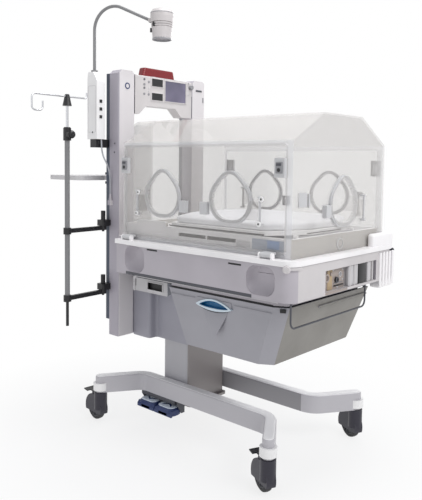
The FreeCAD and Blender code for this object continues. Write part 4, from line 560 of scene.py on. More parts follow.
def lofted(loops, start_cap=True, stop_cap=True, ring=False, second=None):
    """A skin over outlines with as many points each; bands from `second` on take the second finish."""
    start()
    count = len(loops[0])
    pairs = [(index, (index + 1) % len(loops)) for index in range(len(loops) - (0 if ring else 1))]
    faces = [
        (low * count + step, low * count + (step + 1) % count, high * count + (step + 1) % count,
         high * count + step)
        for low, high in pairs for step in range(count)
    ]
    bands = len(faces)
    if start_cap and not ring:
        faces.append(tuple(range(count)))
    if stop_cap and not ring:
        faces.append(tuple(range((len(loops) - 1) * count, len(loops) * count)))
    mesh = bpy.data.meshes.new("skin")
    mesh.from_pydata([tuple(spot) for loop in loops for spot in loop], [], faces)
    piece = bpy.data.objects.new("skin", mesh)
    bpy.context.collection.objects.link(piece)
    bpy.context.view_layer.objects.active = piece
    piece.select_set(True)
    if second is not None:
        for face in mesh.polygons:
            stop = stop_cap and face.index == len(faces) - 1
            face.material_index = int(stop or second * count <= face.index < bands)
    bpy.ops.object.mode_set(mode="EDIT")
    bpy.ops.mesh.select_all(action="SELECT")
    bpy.ops.mesh.normals_make_consistent(inside=False)
    bpy.ops.object.mode_set(mode="OBJECT")
    return piece


def coat(part, *kinds):
    for kind in kinds:
        part.data.materials.append(finishes()[kind])
    return part


def plate(low, high, kind, edge=0.0008, steps=2):
    """A rounded block between two corners, with its finish."""
    return coat(block(at(*low), at(*high), edge, steps), kind)


def button(spot, direction, radius, height, kind, dome=0.3):
    """A round boss on a face, with a soft edge."""
    profile = [(0, 0), (radius, 0), (radius, height * (1 - dome)), (radius - height * dome, height),
               (0, height)]
    return coat(turned(profile, at(*spot), direction, 24), kind)


def collar(spot, direction, outer, inner, height, kind):
    """A ring that stands on a face."""
    profile = [(inner, 0), (outer, 0), (outer, height * 0.7), (outer - height * 0.3, height),
               (inner, height), (inner, 0)]
    return coat(turned(profile, at(*spot), direction, 28), kind)


def screw(spot, direction, kind="steel"):
    """A countersunk cover screw with its socket."""
    radius = sizes().screw
    profile = [(0, 0.0002), (radius * 0.42, 0.0002), (radius * 0.48, 0.0011), (radius * 0.86, 0.0011),
               (radius, 0.0005), (radius, 0)]
    return coat(turned(profile, at(*spot), direction, 18), kind)


def frame_round(centre, wide, tall, across, up, rim, corner, depth, kind):
    """A rounded frame round an opening, standing on its plane by depth."""
    centre, depth = at(*centre), Vector(depth)
    outer = round_outline(centre, wide, tall, across, up, corner, 4)
    inner = round_outline(centre, wide - 2 * rim, tall - 2 * rim, across, up, max(corner - rim, 0.0006), 4)
    soft = round_outline(centre, wide - rim * 0.4, tall - rim * 0.4, across, up,
                         max(corner - rim * 0.2, 0.0006), 4)
    loops = [outer, [spot + depth * 0.7 for spot in outer], [spot + depth for spot in soft],
             [spot + depth for spot in inner], inner]
    return coat(lofted(loops, ring=True), kind)


def joined_on(body, name, parts, angle=35):
    """Joins small fittings of one body into a piece."""
    return finished(joined(name, *parts), name, body, None, angle)


# The stage

CAMERA_SPOT = (1.6305, -1.6814, 1.036)
CAMERA_TURN = 41.28
CAMERA_DIP = 3.52
CAMERA_ROLL = 0.77
CAMERA_LENS = 44.87


def camera():
    """The camera at the height and turn of the product photograph."""
    turn, dip, roll = (math.radians(angle) for angle in (CAMERA_TURN, CAMERA_DIP, CAMERA_ROLL))
    ahead = Vector((-math.sin(turn), math.cos(turn), 0))
    right = Vector((math.cos(turn), math.sin(turn), 0))
    up = Vector((0, 0, 1))
    view = ahead * math.cos(dip) - up * math.sin(dip)
    head = up * math.cos(dip) + ahead * math.sin(dip)
    side = right * math.cos(roll) + head * math.sin(roll)
    top = head * math.cos(roll) - right * math.sin(roll)
    lens_data = bpy.data.cameras.new("Camera")
    lens_data.lens = CAMERA_LENS
    lens_data.sensor_width = 36
    lens_data.shift_x = -0.0174
    lens_data.shift_y = -0.094
    lens_data.clip_end = 30
    eye = bpy.data.objects.new("Camera", lens_data)
    bpy.context.collection.objects.link(eye)
    axes = Matrix((side, top, -view)).transposed()
    eye.matrix_world = Matrix.Translation(CAMERA_SPOT) @ axes.to_4x4()
    bpy.context.scene.camera = eye


def soft_lamp(name, spot, aim, width, power):
    lamp_data = bpy.data.lights.new(name, "AREA")
    lamp_data.shape = "RECTANGLE"
    lamp_data.size = width
    lamp_data.size_y = width * 0.7
    lamp_data.energy = power
    lamp = bpy.data.objects.new(name, lamp_data)
    bpy.context.collection.objects.link(lamp)
    lamp.location = spot
    lamp.rotation_euler = (Vector(spot) - Vector(aim)).to_track_quat("Z", "Y").to_euler()


def background():
    """White to the eye and softer grey as light."""
    world = bpy.data.worlds.new("Studio")
    world.use_nodes = True
    tree = world.node_tree
    tree.nodes.clear()
    output = tree.nodes.new("ShaderNodeOutputWorld")
    seen = tree.nodes.new("ShaderNodeBackground")
    seen.inputs["Color"].default_value = (1, 1, 1, 1)
    lit = tree.nodes.new("ShaderNodeBackground")
    lit.inputs["Color"].default_value = (0.93, 0.95, 1.0, 1)
    lit.inputs["Strength"].default_value = 0.40
    mix = tree.nodes.new("ShaderNodeMixShader")
    path = tree.nodes.new("ShaderNodeLightPath")
    shown = path.outputs["Is Camera Ray"]
    for ray in ("Is Glossy Ray", "Is Transmission Ray"):
        either = tree.nodes.new("ShaderNodeMath")
        either.operation = "MAXIMUM"
        tree.links.new(shown, either.inputs[0])
        tree.links.new(path.outputs[ray], either.inputs[1])
        shown = either.outputs[0]
    tree.links.new(shown, mix.inputs[0])
    tree.links.new(lit.outputs[0], mix.inputs[1])
    tree.links.new(seen.outputs[0], mix.inputs[2])
    tree.links.new(mix.outputs[0], output.inputs["Surface"])
    bpy.context.scene.world = world


class OBJECT_OT_incubator_stage(bpy.types.Operator):
    """Sets the camera, the lamps, the floor and the background"""

    bl_idname = "object.incubator_stage"
    bl_label = "Studio"

    def execute(self, context):
        context.scene.view_settings.view_transform = "Standard"
        camera()
        background()
        soft_lamp("Key", (3.3, -0.3, 3.0), (0, 0.1, 0.8), 1.8, 56)
        soft_lamp("Fill", (-1.2, -3.2, 1.8), (0, 0.1, 0.8), 2.0, 9)
        soft_lamp("Top", (0.2, 0.2, 3.6), (0, 0.1, 0.8), 1.8, 58)
        soft_lamp("Rim", (-1.2, 3.0, 2.4), (0, 0.1, 0.9), 1.6, 18)
        start()
        bpy.ops.mesh.primitive_plane_add(size=14, location=(0, 0, 0))
        floor = context.object
        floor.name = "floor"
        ground = Finish("Studio floor")
        ground.tint(ground.blend(ground.noise(1.0), (0.80, 0.80, 0.81), (0.84, 0.84, 0.85)))
        ground.value(Roughness=0.9)
        reach = ground.add("VectorMath", operation="LENGTH")
        ground.join(ground.place, reach.inputs[0])
        glow = ground.add("Emission")
        fade = ground.add("MixShader")
        ground.join(ground.span(reach.outputs["Value"], 0.80, 1.0, 0.5, 1.2), fade.inputs[0])
        ground.join(ground.surface.outputs[0], fade.inputs[1])
        ground.join(glow.outputs[0], fade.inputs[2])
        ground.join(fade.outputs[0], ground.output.inputs["Surface"])
        floor.data.materials.append(ground.material)
        return {"FINISHED"}


# Finishes of the solid parts


def beyond(axis, level, sign=1):
    """Faces whose middle lies beyond a level along an axis."""
    return lambda spot, normal, face: sign * spot[axis] > sign * level


def towards(axis, sign, share=0.7):
    """Faces that look along an axis."""
    return lambda spot, normal, face: sign * normal[axis] > share


def within(low, high):
    """Faces whose middle lies in a box."""
    return lambda spot, normal, face: all(a < value < b for a, value, b in zip(low, spot, high))


def round_axis(x, y, inner, outer, low, high):
    """Faces round an upright axis, between two radii and two levels."""
    return lambda spot, normal, face: (
        inner < math.hypot(spot.x - x, spot.y - y) < outer and low < spot.z < high
    )


class OBJECT_OT_incubator_base_finish(bpy.types.Operator):
    """Paints the floor frame, the casters, the pedestal and the pedals"""

    bl_idname = "object.incubator_base_finish"
    bl_label = "Base finishes"

    def execute(self, context):
        for side in ("front", "rear"):
            # The rear beam takes a darker copy of the leg coat as painted shade, except at its foot end; top
            # faces take a lighter copy as painted light
            paint(f"base_beam_{side}", "leg_low" if side == "rear" else "leg", ("leg", beyond(0, 0.28)),
                  ("leg_top", towards(2, 1)))
            for end in ("foot", "head"):
                paint(f"caster_fork_{side}_{end}", "fork")
                paint(f"caster_wheel_{side}_{end}", "rubber")
        paint("caster_sockets", "white")
        for end in ("foot", "head"):
            paint(f"brake_lever_{end}", "black")
        # The base plate and the pedestal's faces towards the foot end take a darker copy of the column enamel
        # as painted shade
        paint("base_plate", "column_dark")
        foot_face = towards(0, 1)
        paint("lift_sleeve", "column", ("column_dark", foot_face))
        paint("lift_post", "column", ("column_dark", foot_face))
        paint("lift_actuator", "steel")
        paint("pedal_bracket", "dark")
        for name in ("pedal_down", "pedal_up"):
            paint(name, "navy")
        return {"FINISHED"}


class OBJECT_OT_incubator_body_finish(bpy.types.Operator):
    """Paints the bed housing, the uprights, the panel and the drawer"""

    bl_idname = "object.incubator_body_finish"
    bl_label = "Body finishes"

    def execute(self, context):
        # Downward faces of the lower housing are dark grey as painted shade
        paint("lower_housing", "shell_low", ("dark", towards(2, -1)))
        paint(
            "reservoir", "smoke",
            ("pale", lambda s, n, f: s.y < -0.1905 and not -0.2045 < s.y < -0.1915),
            ("black", within((-0.212, -0.2045, 0.552), (-0.128, -0.190, 0.582))),
            ("black", within((-0.293, -0.2045, 0.556), (-0.277, -0.190, 0.586))),
        )
        # The back of the foot-end window and the housing's downward faces are dark grey as painted shade
        window_back = within((0.5140, -0.15, 0.60), (0.5160, 0.20, 0.72))
        # The housing's top takes a lighter copy of its plastic as painted light, its front and rear sides a
        # darker copy as painted shade
        paint(
            "chassis", "chassis",
            ("lip", beyond(2, 0.7375)),
            ("shell", lambda s, n, f: s.z < 0.737 and abs(n.y) > 0.2),
            ("dark", window_back),
            ("dark", towards(2, -1, 0.9)),
        )
        paint("connector_panel", "plate", ("chassis", beyond(1, 0.005)),
              ("black", within((0.5235, -0.08, 0.6), (0.6, 0.0, 0.7))),
              ("dark", lambda s, n, f: s.y > 0.005 and n.y > 0.5))
        for side in ("front", "rear"):
            # Faces towards the front and rear take a darker copy of the upright enamel as painted shade
            paint(f"upright_{side}", "lilac", ("lilac_side", lambda s, n, f: abs(n.y) > 0.5))
        paint("accessory_rails", "slate")
        paint("control_panel", "panel")
        paint("display_windows", "glass", ("screen", beyond(1, 0)))
        paint("keypad", "grey")
        paint("alarm_bar", "alarm")
        paint("control_knob", "grey")
        # The drawer frame takes the darker copy of the housing plastic as painted shade, and its lowest faces
        # over the drawer are dark grey as painted shade
        paint("drawer_frame", "shell", ("dark", lambda s, n, f: s.z < 0.6105))
        # Faces towards the foot end take a darker copy of the drawer plastic as painted shade
        paint("drawer", "drawer", ("drawer_end", towards(0, 1, 0.8)))
        paint("drawer_handle", "handle")
        paint("rail_clamps", "black")
        paint("lamp_box", "white", ("black", beyond(0, -0.3909)))
        paint("lamp_cord", "cord")
        paint("gooseneck", "tube")
        paint("lamp_head", "lamp_shell", ("lamp", lambda s, n, f: n.z < -0.9 and s.z < 1.4985),
              ("grey", beyond(2, 1.4985, -1)))
        tube = round_axis(-0.400, -0.440, 0, 0.0100, 0.50, 1.13)
        paint("pole_arm", "black", ("tube", tube))
        cone = round_axis(-0.400, -0.440, 0.0055, 0.0175, 1.2455, 1.2885)
        paint("iv_rod", "steel", ("black", cone))
        paint("shelf", "pale")
        paint("wire_bail", "dark")
        return {"FINISHED"}


class OBJECT_OT_incubator_canopy_finish(bpy.types.Operator):
    """Gives the hood, its doors, its portholes and the bed their finishes"""

    bl_idname = "object.incubator_canopy_finish"
    bl_label = "Canopy finishes"

    def execute(self, context):
        skin = 0.2950
        for name in ("hood", "porthole_foot", *[f"porthole_{side}_{end}" for side, end in CORNERS]):
            # Cut edges and bends of the clear sheets take the whiter acrylic as a painted highlight
            cut_edge = rims(nodes[name])
            paint(name, "acrylic", ("edge", lambda s, n, f: f.index in cut_edge))
        fittings = lambda s, n, f: s.x > 0.5135 and 0.84 < s.z < 1.04
        hood_edge = rims(nodes["hood"])
        paint("hood", "acrylic", ("edge", lambda s, n, f: f.index in hood_edge), ("ring", fittings))
        for side, sign in SIDES:
            outside = lambda s, n, f: sign * s.y > skin
            low_edge = rims(nodes[f"door_{side}"])
            paint(f"door_{side}", "acrylic", ("edge", lambda s, n, f: f.index in low_edge), ("ring", outside))
        for side, end in CORNERS:
            paint(f"door_latch_{side}_{end}", "grey")
        # The insides of the deck vents are dark grey as painted shade
        vents = within((0.029, -0.2797, 0.7855), (0.291, -0.2700, 0.7985))
        # Faces towards the foot end take a darker copy of the deck plastic as painted shade
        paint("bed_deck", "deck", ("dark", vents), ("deck_end", towards(0, 1)))
        paint("tilt_frame", "steel")
        paint("bed_platform", "white")
        paint("mattress", "sheet")
        return {"FINISHED"}


# Soft parts


def capped(piece, before, most):
    """Keeps every point of a swollen piece within a distance of where it began."""
    for vertex, first in zip(piece.data.vertices, before):
        away = vertex.co - first
        if away.length > most:
            vertex.co = first + away * (most / away.length)


class OBJECT_OT_incubator_mattress(bpy.types.Operator):
    """Swells the mattress into a crowned pad under its fitted sheet"""

    bl_idname = "object.incubator_mattress"
    bl_label = "Mattress"

    def execute(self, context):
        start()
        pad = nodes["mattress"].copy()
        pad.data = nodes["mattress"].data.copy()
        context.collection.objects.link(pad)
        pad.parent = None
        for mark in [key for key in pad.keys() if key.startswith("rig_")]:
            del pad[mark]
        low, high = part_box("mattress")
        centre = (low + high) / 2
        crown = sizes().swell
        shrink = Matrix.Diagonal((0.985, 0.985, 1 - crown / (high.z - low.z), 1))
        floor_level = Vector((centre.x, centre.y, low.z))
        pad.data.transform(Matrix.Translation(floor_level) @ shrink @ Matrix.Translation(-floor_level))
        context.view_layer.objects.active = pad
        pad.select_set(True)
        pad.data.remesh_voxel_size = 0.006
        bpy.ops.object.voxel_remesh()
        before = [vertex.co.copy() for vertex in pad.data.vertices]
        swell = pad.modifiers.new("swell", "CLOTH")
        swell.settings.use_pressure = True
        swell.settings.uniform_pressure_force = 4
        swell.settings.effector_weights.gravity = 0
        for step in range(1, 21):
            context.scene.frame_set(step)
        bpy.ops.object.modifier_apply(modifier="swell")
        context.scene.frame_set(1)
        capped(pad, before, crown)
        for vertex in pad.data.vertices:
            vertex.co.z = min(max(vertex.co.z, low.z), high.z + 0.004)
            vertex.co.x = min(max(vertex.co.x, low.x), high.x)
            vertex.co.y = min(max(vertex.co.y, low.y), high.y)
        finer = pad.modifiers.new("finer", "SUBSURF")
        finer.levels = 1
        bpy.ops.object.modifier_apply(modifier="finer")
        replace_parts(finished(pad, "mattress_pad", "bed", "sheet", 80), "mattress")
        return {"FINISHED"}


# The corners of the lamp cord's way down to its gland, from the middle between the casters
CORD_ROUTE = (
    (-0.397, -0.284, 1.129),
    (-0.397, -0.284, 1.096),
    (-0.394, -0.277, 1.060),
    (-0.387, -0.262, 1.030),
    (-0.383, -0.252, 0.990),
    (-0.384, -0.250, 0.950),
    (-0.384, -0.250, 0.915),
)


class OBJECT_OT_incubator_cord(bpy.types.Operator):
    """Hangs the lamp cord from the lamp box to its gland"""

    bl_idname = "object.incubator_cord"
    bl_label = "Lamp cord"

    def execute(self, context):
        start()
        line = bpy.data.curves.new("lamp_lead", "CURVE")
        line.dimensions = "3D"
        run = line.splines.new("NURBS")
        run.points.add(len(CORD_ROUTE) - 1)
        for point, spot in zip(run.points, CORD_ROUTE):
            point.co = (*at(*spot), 1)
        run.order_u = 3
        run.use_endpoint_u = True
        run.resolution_u = 12
        line.bevel_depth = sizes().cord / 2
        line.bevel_resolution = 4
        line.use_fill_caps = True
        lead = bpy.data.objects.new("lamp_lead", line)
        context.collection.objects.link(lead)
        line.materials.append(finishes()["cord"])
        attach(lead, "carriage")
        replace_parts(lead, "lamp_cord")
        return {"FINISHED"}


# Fittings of the base


def wheel_of(corner):
    """A caster wheel on its axle: tyre with a worn crown, dished hub and spokes."""
    joint = joints[f"roll_{corner[0]}_{corner[1]}"]
    spot, axle = Vector(joint["pos_m"]), Vector(joint["axis"])
    edge = sizes().tyre_edge
    tyre = turned(
        [(0.0370, -0.0117), (0.0400, -0.0120), (0.0500 - edge, -0.0118), (0.0488, -0.0085),
         (0.0496, -0.0045), (0.0499, -0.0012), (0.0492, 0.0), (0.0499, 0.0012), (0.0496, 0.0045),
         (0.0488, 0.0085), (0.0500 - edge, 0.0118), (0.0400, 0.0120), (0.0370, 0.0117), (0.0370, -0.0117)],
        spot, axle, 56,
    )
    hub = turned(
        [(0.0053, -0.0118), (0.0120, -0.0119), (0.0142, -0.0112), (0.0160, -0.0070), (0.0320, -0.0064),
         (0.0345, -0.0100), (0.0369, -0.0114), (0.0369, 0.0114), (0.0345, 0.0100), (0.0320, 0.0064),
         (0.0160, 0.0070), (0.0142, 0.0112), (0.0120, 0.0119), (0.0053, 0.0118), (0.0053, -0.0118)],
        spot, axle, 40,
    )
    across = axle.orthogonal().normalized()
    ribs = []
    for index in range(5):
        out = Matrix.Rotation(math.radians(72 * index), 3, axle) @ across
        side = axle.cross(out)
        corners = [
            spot + out * r + side * w
            for r, w in ((0.0150, -0.003), (0.0335, -0.002), (0.0335, 0.002), (0.0150, 0.003))
        ]
        ribs.append(sheet_of([corner - axle * 0.0098 for corner in corners], axle * 0.0196, 0.0006))
    for part, kind in ((tyre, "rubber"), (hub, "hub"), *[(rib, "hub") for rib in ribs]):
        part.data.materials.append(finishes()[kind])
    wheel = joined("caster", tyre, hub, *ribs)
    body = f"wheel_{corner[0]}_{corner[1]}"
    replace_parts(finished(wheel, f"rolling_{body}", body, None), f"caster_{body}")


class OBJECT_OT_incubator_wheels(bpy.types.Operator):
    """Models the four caster wheels"""

    bl_idname = "object.incubator_wheels"
    bl_label = "Caster wheels"

    def execute(self, context):
        for corner in CORNERS:
            wheel_of(corner)
        return {"FINISHED"}


class OBJECT_OT_incubator_pedals(bpy.types.Operator):
    """Fits the pale treads with their raised arrows on the foot pedals"""

    bl_idname = "object.incubator_pedals"
    bl_label = "Pedal treads"

    def execute(self, context):
        for name, points_to in (("pedal_down", -1), ("pedal_up", 1)):
            low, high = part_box(name)
            middle = Vector(((low.x + high.x) / 2, low.y + 0.0330, high.z))

            def ring(wide, deep, corner, lift):
                return round_outline(
                    middle + Vector((0, 0, lift)), wide, deep, (1, 0, 0), (0, 1, 0), corner, 3
                )

            skirt = coat(lofted([
                ring(0.0930, 0.0650, 0.024, -0.0210), ring(0.0945, 0.0660, 0.024, -0.0195),
                ring(0.0945, 0.0660, 0.024, -0.0060),
                ring(0.0900, 0.0620, 0.022, 0.0010), ring(0.0830, 0.0560, 0.020, 0.0065),
                ring(0.0810, 0.0540, 0.019, 0.0070),
            ]), "navy")
            tread = coat(lofted([
                ring(0.0790, 0.0520, 0.018, 0.0060), ring(0.0790, 0.0520, 0.018, 0.0088),
                ring(0.0770, 0.0500, 0.017, 0.0100),
            ]), "sky")
            arrow = []
            for x, y in ((-22, -11), (0, 6), (22, -11), (22, -2), (0, 15), (-22, -2)):
                arrow.append(middle + Vector((x / 1000, points_to * (y - 2) / 1000, 0.0098)))
            mark = coat(sheet_of(arrow, (0, 0, 0.0010), 0.0003), "navy")
            finished(joined("tread", skirt, tread, mark), f"{name}_tread", name, None)
        return {"FINISHED"}


# Fittings of the body

PULL_MIDDLE = 0.215
PULL_LEVEL = 0.5695


def eye(half, rise, drop, y, lift=0.0, steps=28):
    """A half-moon outline of the pull: half its width, how far it rises and drops, and its plane."""
    upper, lower = [], []
    for step in range(steps + 1):
        share = step / steps
        x = PULL_MIDDLE + half * (2 * share - 1)
        upper.append(at(x, y, PULL_LEVEL + lift + rise * math.sin(math.pi * share ** 0.94) ** 0.85))
        lower.append(at(x, y, PULL_LEVEL + lift - drop * math.sin(math.pi * share) ** 0.70))
    return upper + lower[-2:0:-1]


class OBJECT_OT_incubator_pull(bpy.types.Operator):
    """Models the drawer pull, an eye-shaped bowl in a pale rim over its shallow recess"""

    bl_idname = "object.incubator_pull"
    bl_label = "Drawer pull"

    def execute(self, context):
        pull = lofted([
            eye(0.0790, 0.0245, 0.0145, -0.2850),
            eye(0.0790, 0.0245, 0.0145, -0.3020),
            eye(0.0778, 0.0238, 0.0138, -0.3034),
            eye(0.0660, 0.0190, 0.0068, -0.3034),
            eye(0.0630, 0.0178, 0.0052, -0.3020),
            eye(0.0600, 0.0150, 0.0040, -0.2935),
            eye(0.0540, 0.0110, 0.0025, -0.2885),
        ], second=4)
        # A dark grey half-moon sliver under the rim: painted shadow
        low, high = (eye(0.0780, 0.0, drop, -0.3006)[29:] for drop in (0.0188, 0.0120))
        gap = coat(sheet_of(low + high[::-1], (0, 0.002, 0), 0), "dark")
        pull = coat(pull, "handle_rim", "handle")
        lean = (0.592 - 0.470) / 67
        edge = lambda level: 67 - (0.592 - level) / lean + 8
        arc = eye(0.0790, 0.0245, 0.0, -0.2999)[1:28]
        brow = [Vector((spot.x, spot.y, min(spot.z, 0.5912))) for spot in arc]
        brow += [at(PULL_MIDDLE + side * edge(0.592) / 1000, -0.2999, 0.5922) for side in (1, -1)]
        cover = sheet_of(brow, (0, 0.008, 0), 0.0003)
        ramp = sheet_of([
            at(PULL_MIDDLE - edge(0.567) / 1000, -0.2890, 0.567),
            at(PULL_MIDDLE + edge(0.567) / 1000, -0.2890, 0.567),
            at(PULL_MIDDLE + 0.0095, -0.2990, 0.4735), at(PULL_MIDDLE - 0.0095, -0.2990, 0.4735),
        ], (0, 0.004, 0), 0.0003)
        for part in (cover, ramp):
            coat(part, "drawer")
        piece = joined_on("drawer", "drawer_pull", [pull, gap, cover, ramp], 40)
        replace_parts(piece, "drawer_handle")
        corner = []
        for share, level in ((0.42, 0.590), (0.78, 0.590), (0.78, 0.602), (0.42, 0.602)):
            corner.append(at(0.456 + 0.044 * share, -0.3004 + 0.027 * share, level))
        lock = coat(sheet_of(corner, (0.0010, -0.0017, 0), 0.0004), "black")
        beads = [
            plate((low, -0.3008, 0.5850), (high, -0.2990, 0.5868), "drawer", 0.0008)
            for low, high in ((0.012, 0.130), (0.300, 0.455))
        ]
        joined_on("drawer", "drawer_lock", [lock, *beads])
        return {"FINISHED"}


class OBJECT_OT_incubator_housing_trim(bpy.types.Operator):
    """Fits the trims, dark strips of painted shadow, levers and blank plates of the bed housing"""

    bl_idname = "object.incubator_housing_trim"
    bl_label = "Housing trim"

    def execute(self, context):
        front, right, up = (0, -1, 0), (1, 0, 0), (0, 0, 1)
        parts = [
            # A black strip over the drawer's top, under the frame: painted shadow
            plate((0.011, -0.2952, 0.6072), (0.452, -0.2925, 0.6118), "black", 0.0006),
            # A dark grey band along the housing's lower front edge: painted shadow under the housing
            plate((-0.198, -0.3257, 0.6300), (0.392, -0.3245, 0.6405), "dark", 0.0004),
            plate((-0.176, -0.2945, 0.6185), (0.470, -0.2875, 0.6245), "pale", 0.0025, 3),
            plate((-0.192, -0.2945, 0.565), (-0.185, -0.2875, 0.612), "pale", 0.0025, 3),
        ]
        bend = [at(-0.176, -0.2945, 0.6245), at(-0.187, -0.2945, 0.6200), at(-0.192, -0.2945, 0.6100),
                at(-0.185, -0.2945, 0.6100), at(-0.182, -0.2945, 0.6155), at(-0.176, -0.2945, 0.6185)]
        parts.append(coat(sheet_of(bend, (0, 0.007, 0), 0.0012), "pale"))
        # A dark grey strip tucked under the pale frame above the reservoir: painted shadow
        parts.append(plate((-0.184, -0.2885, 0.6140), (0.010, -0.2840, 0.6190), "dark", 0.0006))
        for low, high, bottom, top in ((-0.204, -0.099, 0.642, 0.736), (0.370, 0.479, 0.642, 0.731)):
            wide, tall = high - low, top - bottom
            dish = []
            for y, narrow, lift, corner in ((-0.3247, 0.001, 0.0, 0.0335), (-0.3160, 0.004, 0.0015, 0.033),
                                            (-0.3040, 0.020, 0.0085, 0.030),
                                            (-0.2960, 0.036, 0.0150, 0.026), (-0.2922, 0.054, 0.0195, 0.018)):
                centre = at((low + high) / 2, y, (bottom + top) / 2 + lift)
                dish.append(round_outline(centre, wide - narrow * 0.8, tall - narrow, right, up, corner, 6))
            # The dishes take the darker copy of the housing plastic as painted shade
            parts.append(coat(lofted(dish, start_cap=False), "shell"))
        for low, high, top in ((-0.086, -0.032, 0.734), (0.296, 0.349, 0.729)):
            parts.append(plate((low, -0.3235, top - 0.006), (high, -0.3185, top), "black", 0.0004))
        joined_on("carriage", "housing_trim", parts)

        parts = [frame_round((-0.170, -0.205, 0.567), 0.090, 0.036, right, up, 0.0045, 0.006, (0, -0.002, 0),
                             "pale")]
        parts.append(frame_round((-0.285, -0.205, 0.571), 0.022, 0.034, right, up, 0.0028, 0.005,
                                 (0, -0.0015, 0), "pale"))
        joined_on("reservoir", "reservoir_trim", parts)

        parts = []
        # The louvres and the box under them take the lighter copy of the housing plastic as painted light
        for index in range(5):
            y = 0.214 + index * 0.0235
            parts.append(plate((0.5385, y, 0.610), (0.5465, y + 0.013, 0.732), "lip", 0.003, 3))
        parts.append(plate((0.500, 0.222, 0.602), (0.5405, 0.322, 0.634), "lip", 0.008, 3))
        centre = at(0.500, -0.285, 0.0)
        arc = []
        for radius, angles in ((0.0480, range(-72, 5, 4)), (0.0405, range(4, -73, -4))):
            for angle in angles:
                turn = math.radians(angle)
                arc.append(centre + Vector((radius * math.cos(turn), radius * math.sin(turn), 0.7290)))
        lever = coat(sheet_of(arc, (0, 0, 0.0085), 0.0016, 3), "chassis")
        slant = Vector((math.cos(math.radians(-62)), math.sin(math.radians(-62)), 0))
        hub = Vector((0.500, -0.285, 0.7325)) + slant * 0.0395
        parts += [lever, button(hub, slant, 0.0125, 0.0130, "chassis", 0.35)]
        parts.append(button((0.533, 0.3245, 0.731), (0, 1, 0), 0.0075, 0.0115, "dark", 0.35))
        joined_on("carriage", "corner_fittings", parts)

        parts = [
            frame_round((0.320, -0.280, 0.780), 0.062, 0.034, right, up, 0.0018, 0.003, (0, -0.0014, 0),
                        "deck"),
            plate((0.292, -0.2808, 0.765), (0.348, -0.2795, 0.795), "pale", 0.0004),
            plate((0.356, -0.2812, 0.763), (0.480, -0.2795, 0.808), "blank", 0.0008),
            frame_round((0.418, -0.281, 0.7855), 0.128, 0.049, right, up, 0.0022, 0.004, (0, -0.0016, 0),
                        "deck"),
            plate((0.416, -0.2819, 0.780), (0.462, -0.2810, 0.805), "blue", 0.0004),
            # A black sheet inside the deck vents: painted shade
            plate((0.030, -0.2722, 0.7855), (0.290, -0.2700, 0.7985), "black", 0.0003),
            plate((-0.017, -0.2816, 0.8185), (0.403, -0.2796, 0.8228), "black", 0.0006),
            plate((0.5036, -0.195, 0.8252), (0.5055, 0.006, 0.8290), "black", 0.0006),
            plate((0.020, -0.2812, 0.7705), (0.285, -0.2797, 0.7725), "grey", 0.0004),
            collar((0.504, 0.0, 0.780), (1, 0, 0), 0.020, 0.0152, 0.004, "pale"),
        ]
        joined_on("carriage", "deck_trim", parts)

        parts = [
            plate((0.5228, -0.103, 0.6385), (0.5245, -0.074, 0.7075), "tan", 0.0003),
            collar((0.5285, -0.0500, 0.668), (1, 0, 0), 0.0095, 0.0060, 0.002, "dark"),
            collar((0.5225, -0.0242, 0.6830), (1, 0, 0), 0.0095, 0.0070, 0.003, "pale"),
            button((0.5225, -0.0242, 0.6830), (1, 0, 0), 0.0045, 0.003, "grey"),
            plate((0.5225, -0.064, 0.6465), (0.5262, -0.006, 0.6505), "black", 0.0008),
            plate((0.5394, -0.1390, 0.6305), (0.5405, -0.0030, 0.6382), "plate", 0.0003),
            plate((0.5225, 0.0120, 0.6385), (0.5358, 0.0420, 0.7075), "pale", 0.003, 3),
            plate((0.5225, 0.0450, 0.6385), (0.5358, 0.0740, 0.7075), "pale", 0.003, 3),
            plate((0.5225, 0.0755, 0.6385), (0.5375, 0.1280, 0.7075), "black", 0.002),
            plate((0.5225, 0.1370, 0.6385), (0.5380, 0.1600, 0.7075), "pale", 0.003, 3),
            plate((0.5225, -0.064, 0.6555), (0.5252, -0.010, 0.6580), "grey", 0.0006),
            screw((0.523, -0.0070, 0.6640), (1, 0, 0)), screw((0.523, -0.0070, 0.6985), (1, 0, 0)),
            screw((0.523, -0.0680, 0.7020), (1, 0, 0)), screw((0.523, -0.0400, 0.6420), (1, 0, 0)),
        ]
        joined_on("carriage", "socket_fittings", parts)
        return {"FINISHED"}


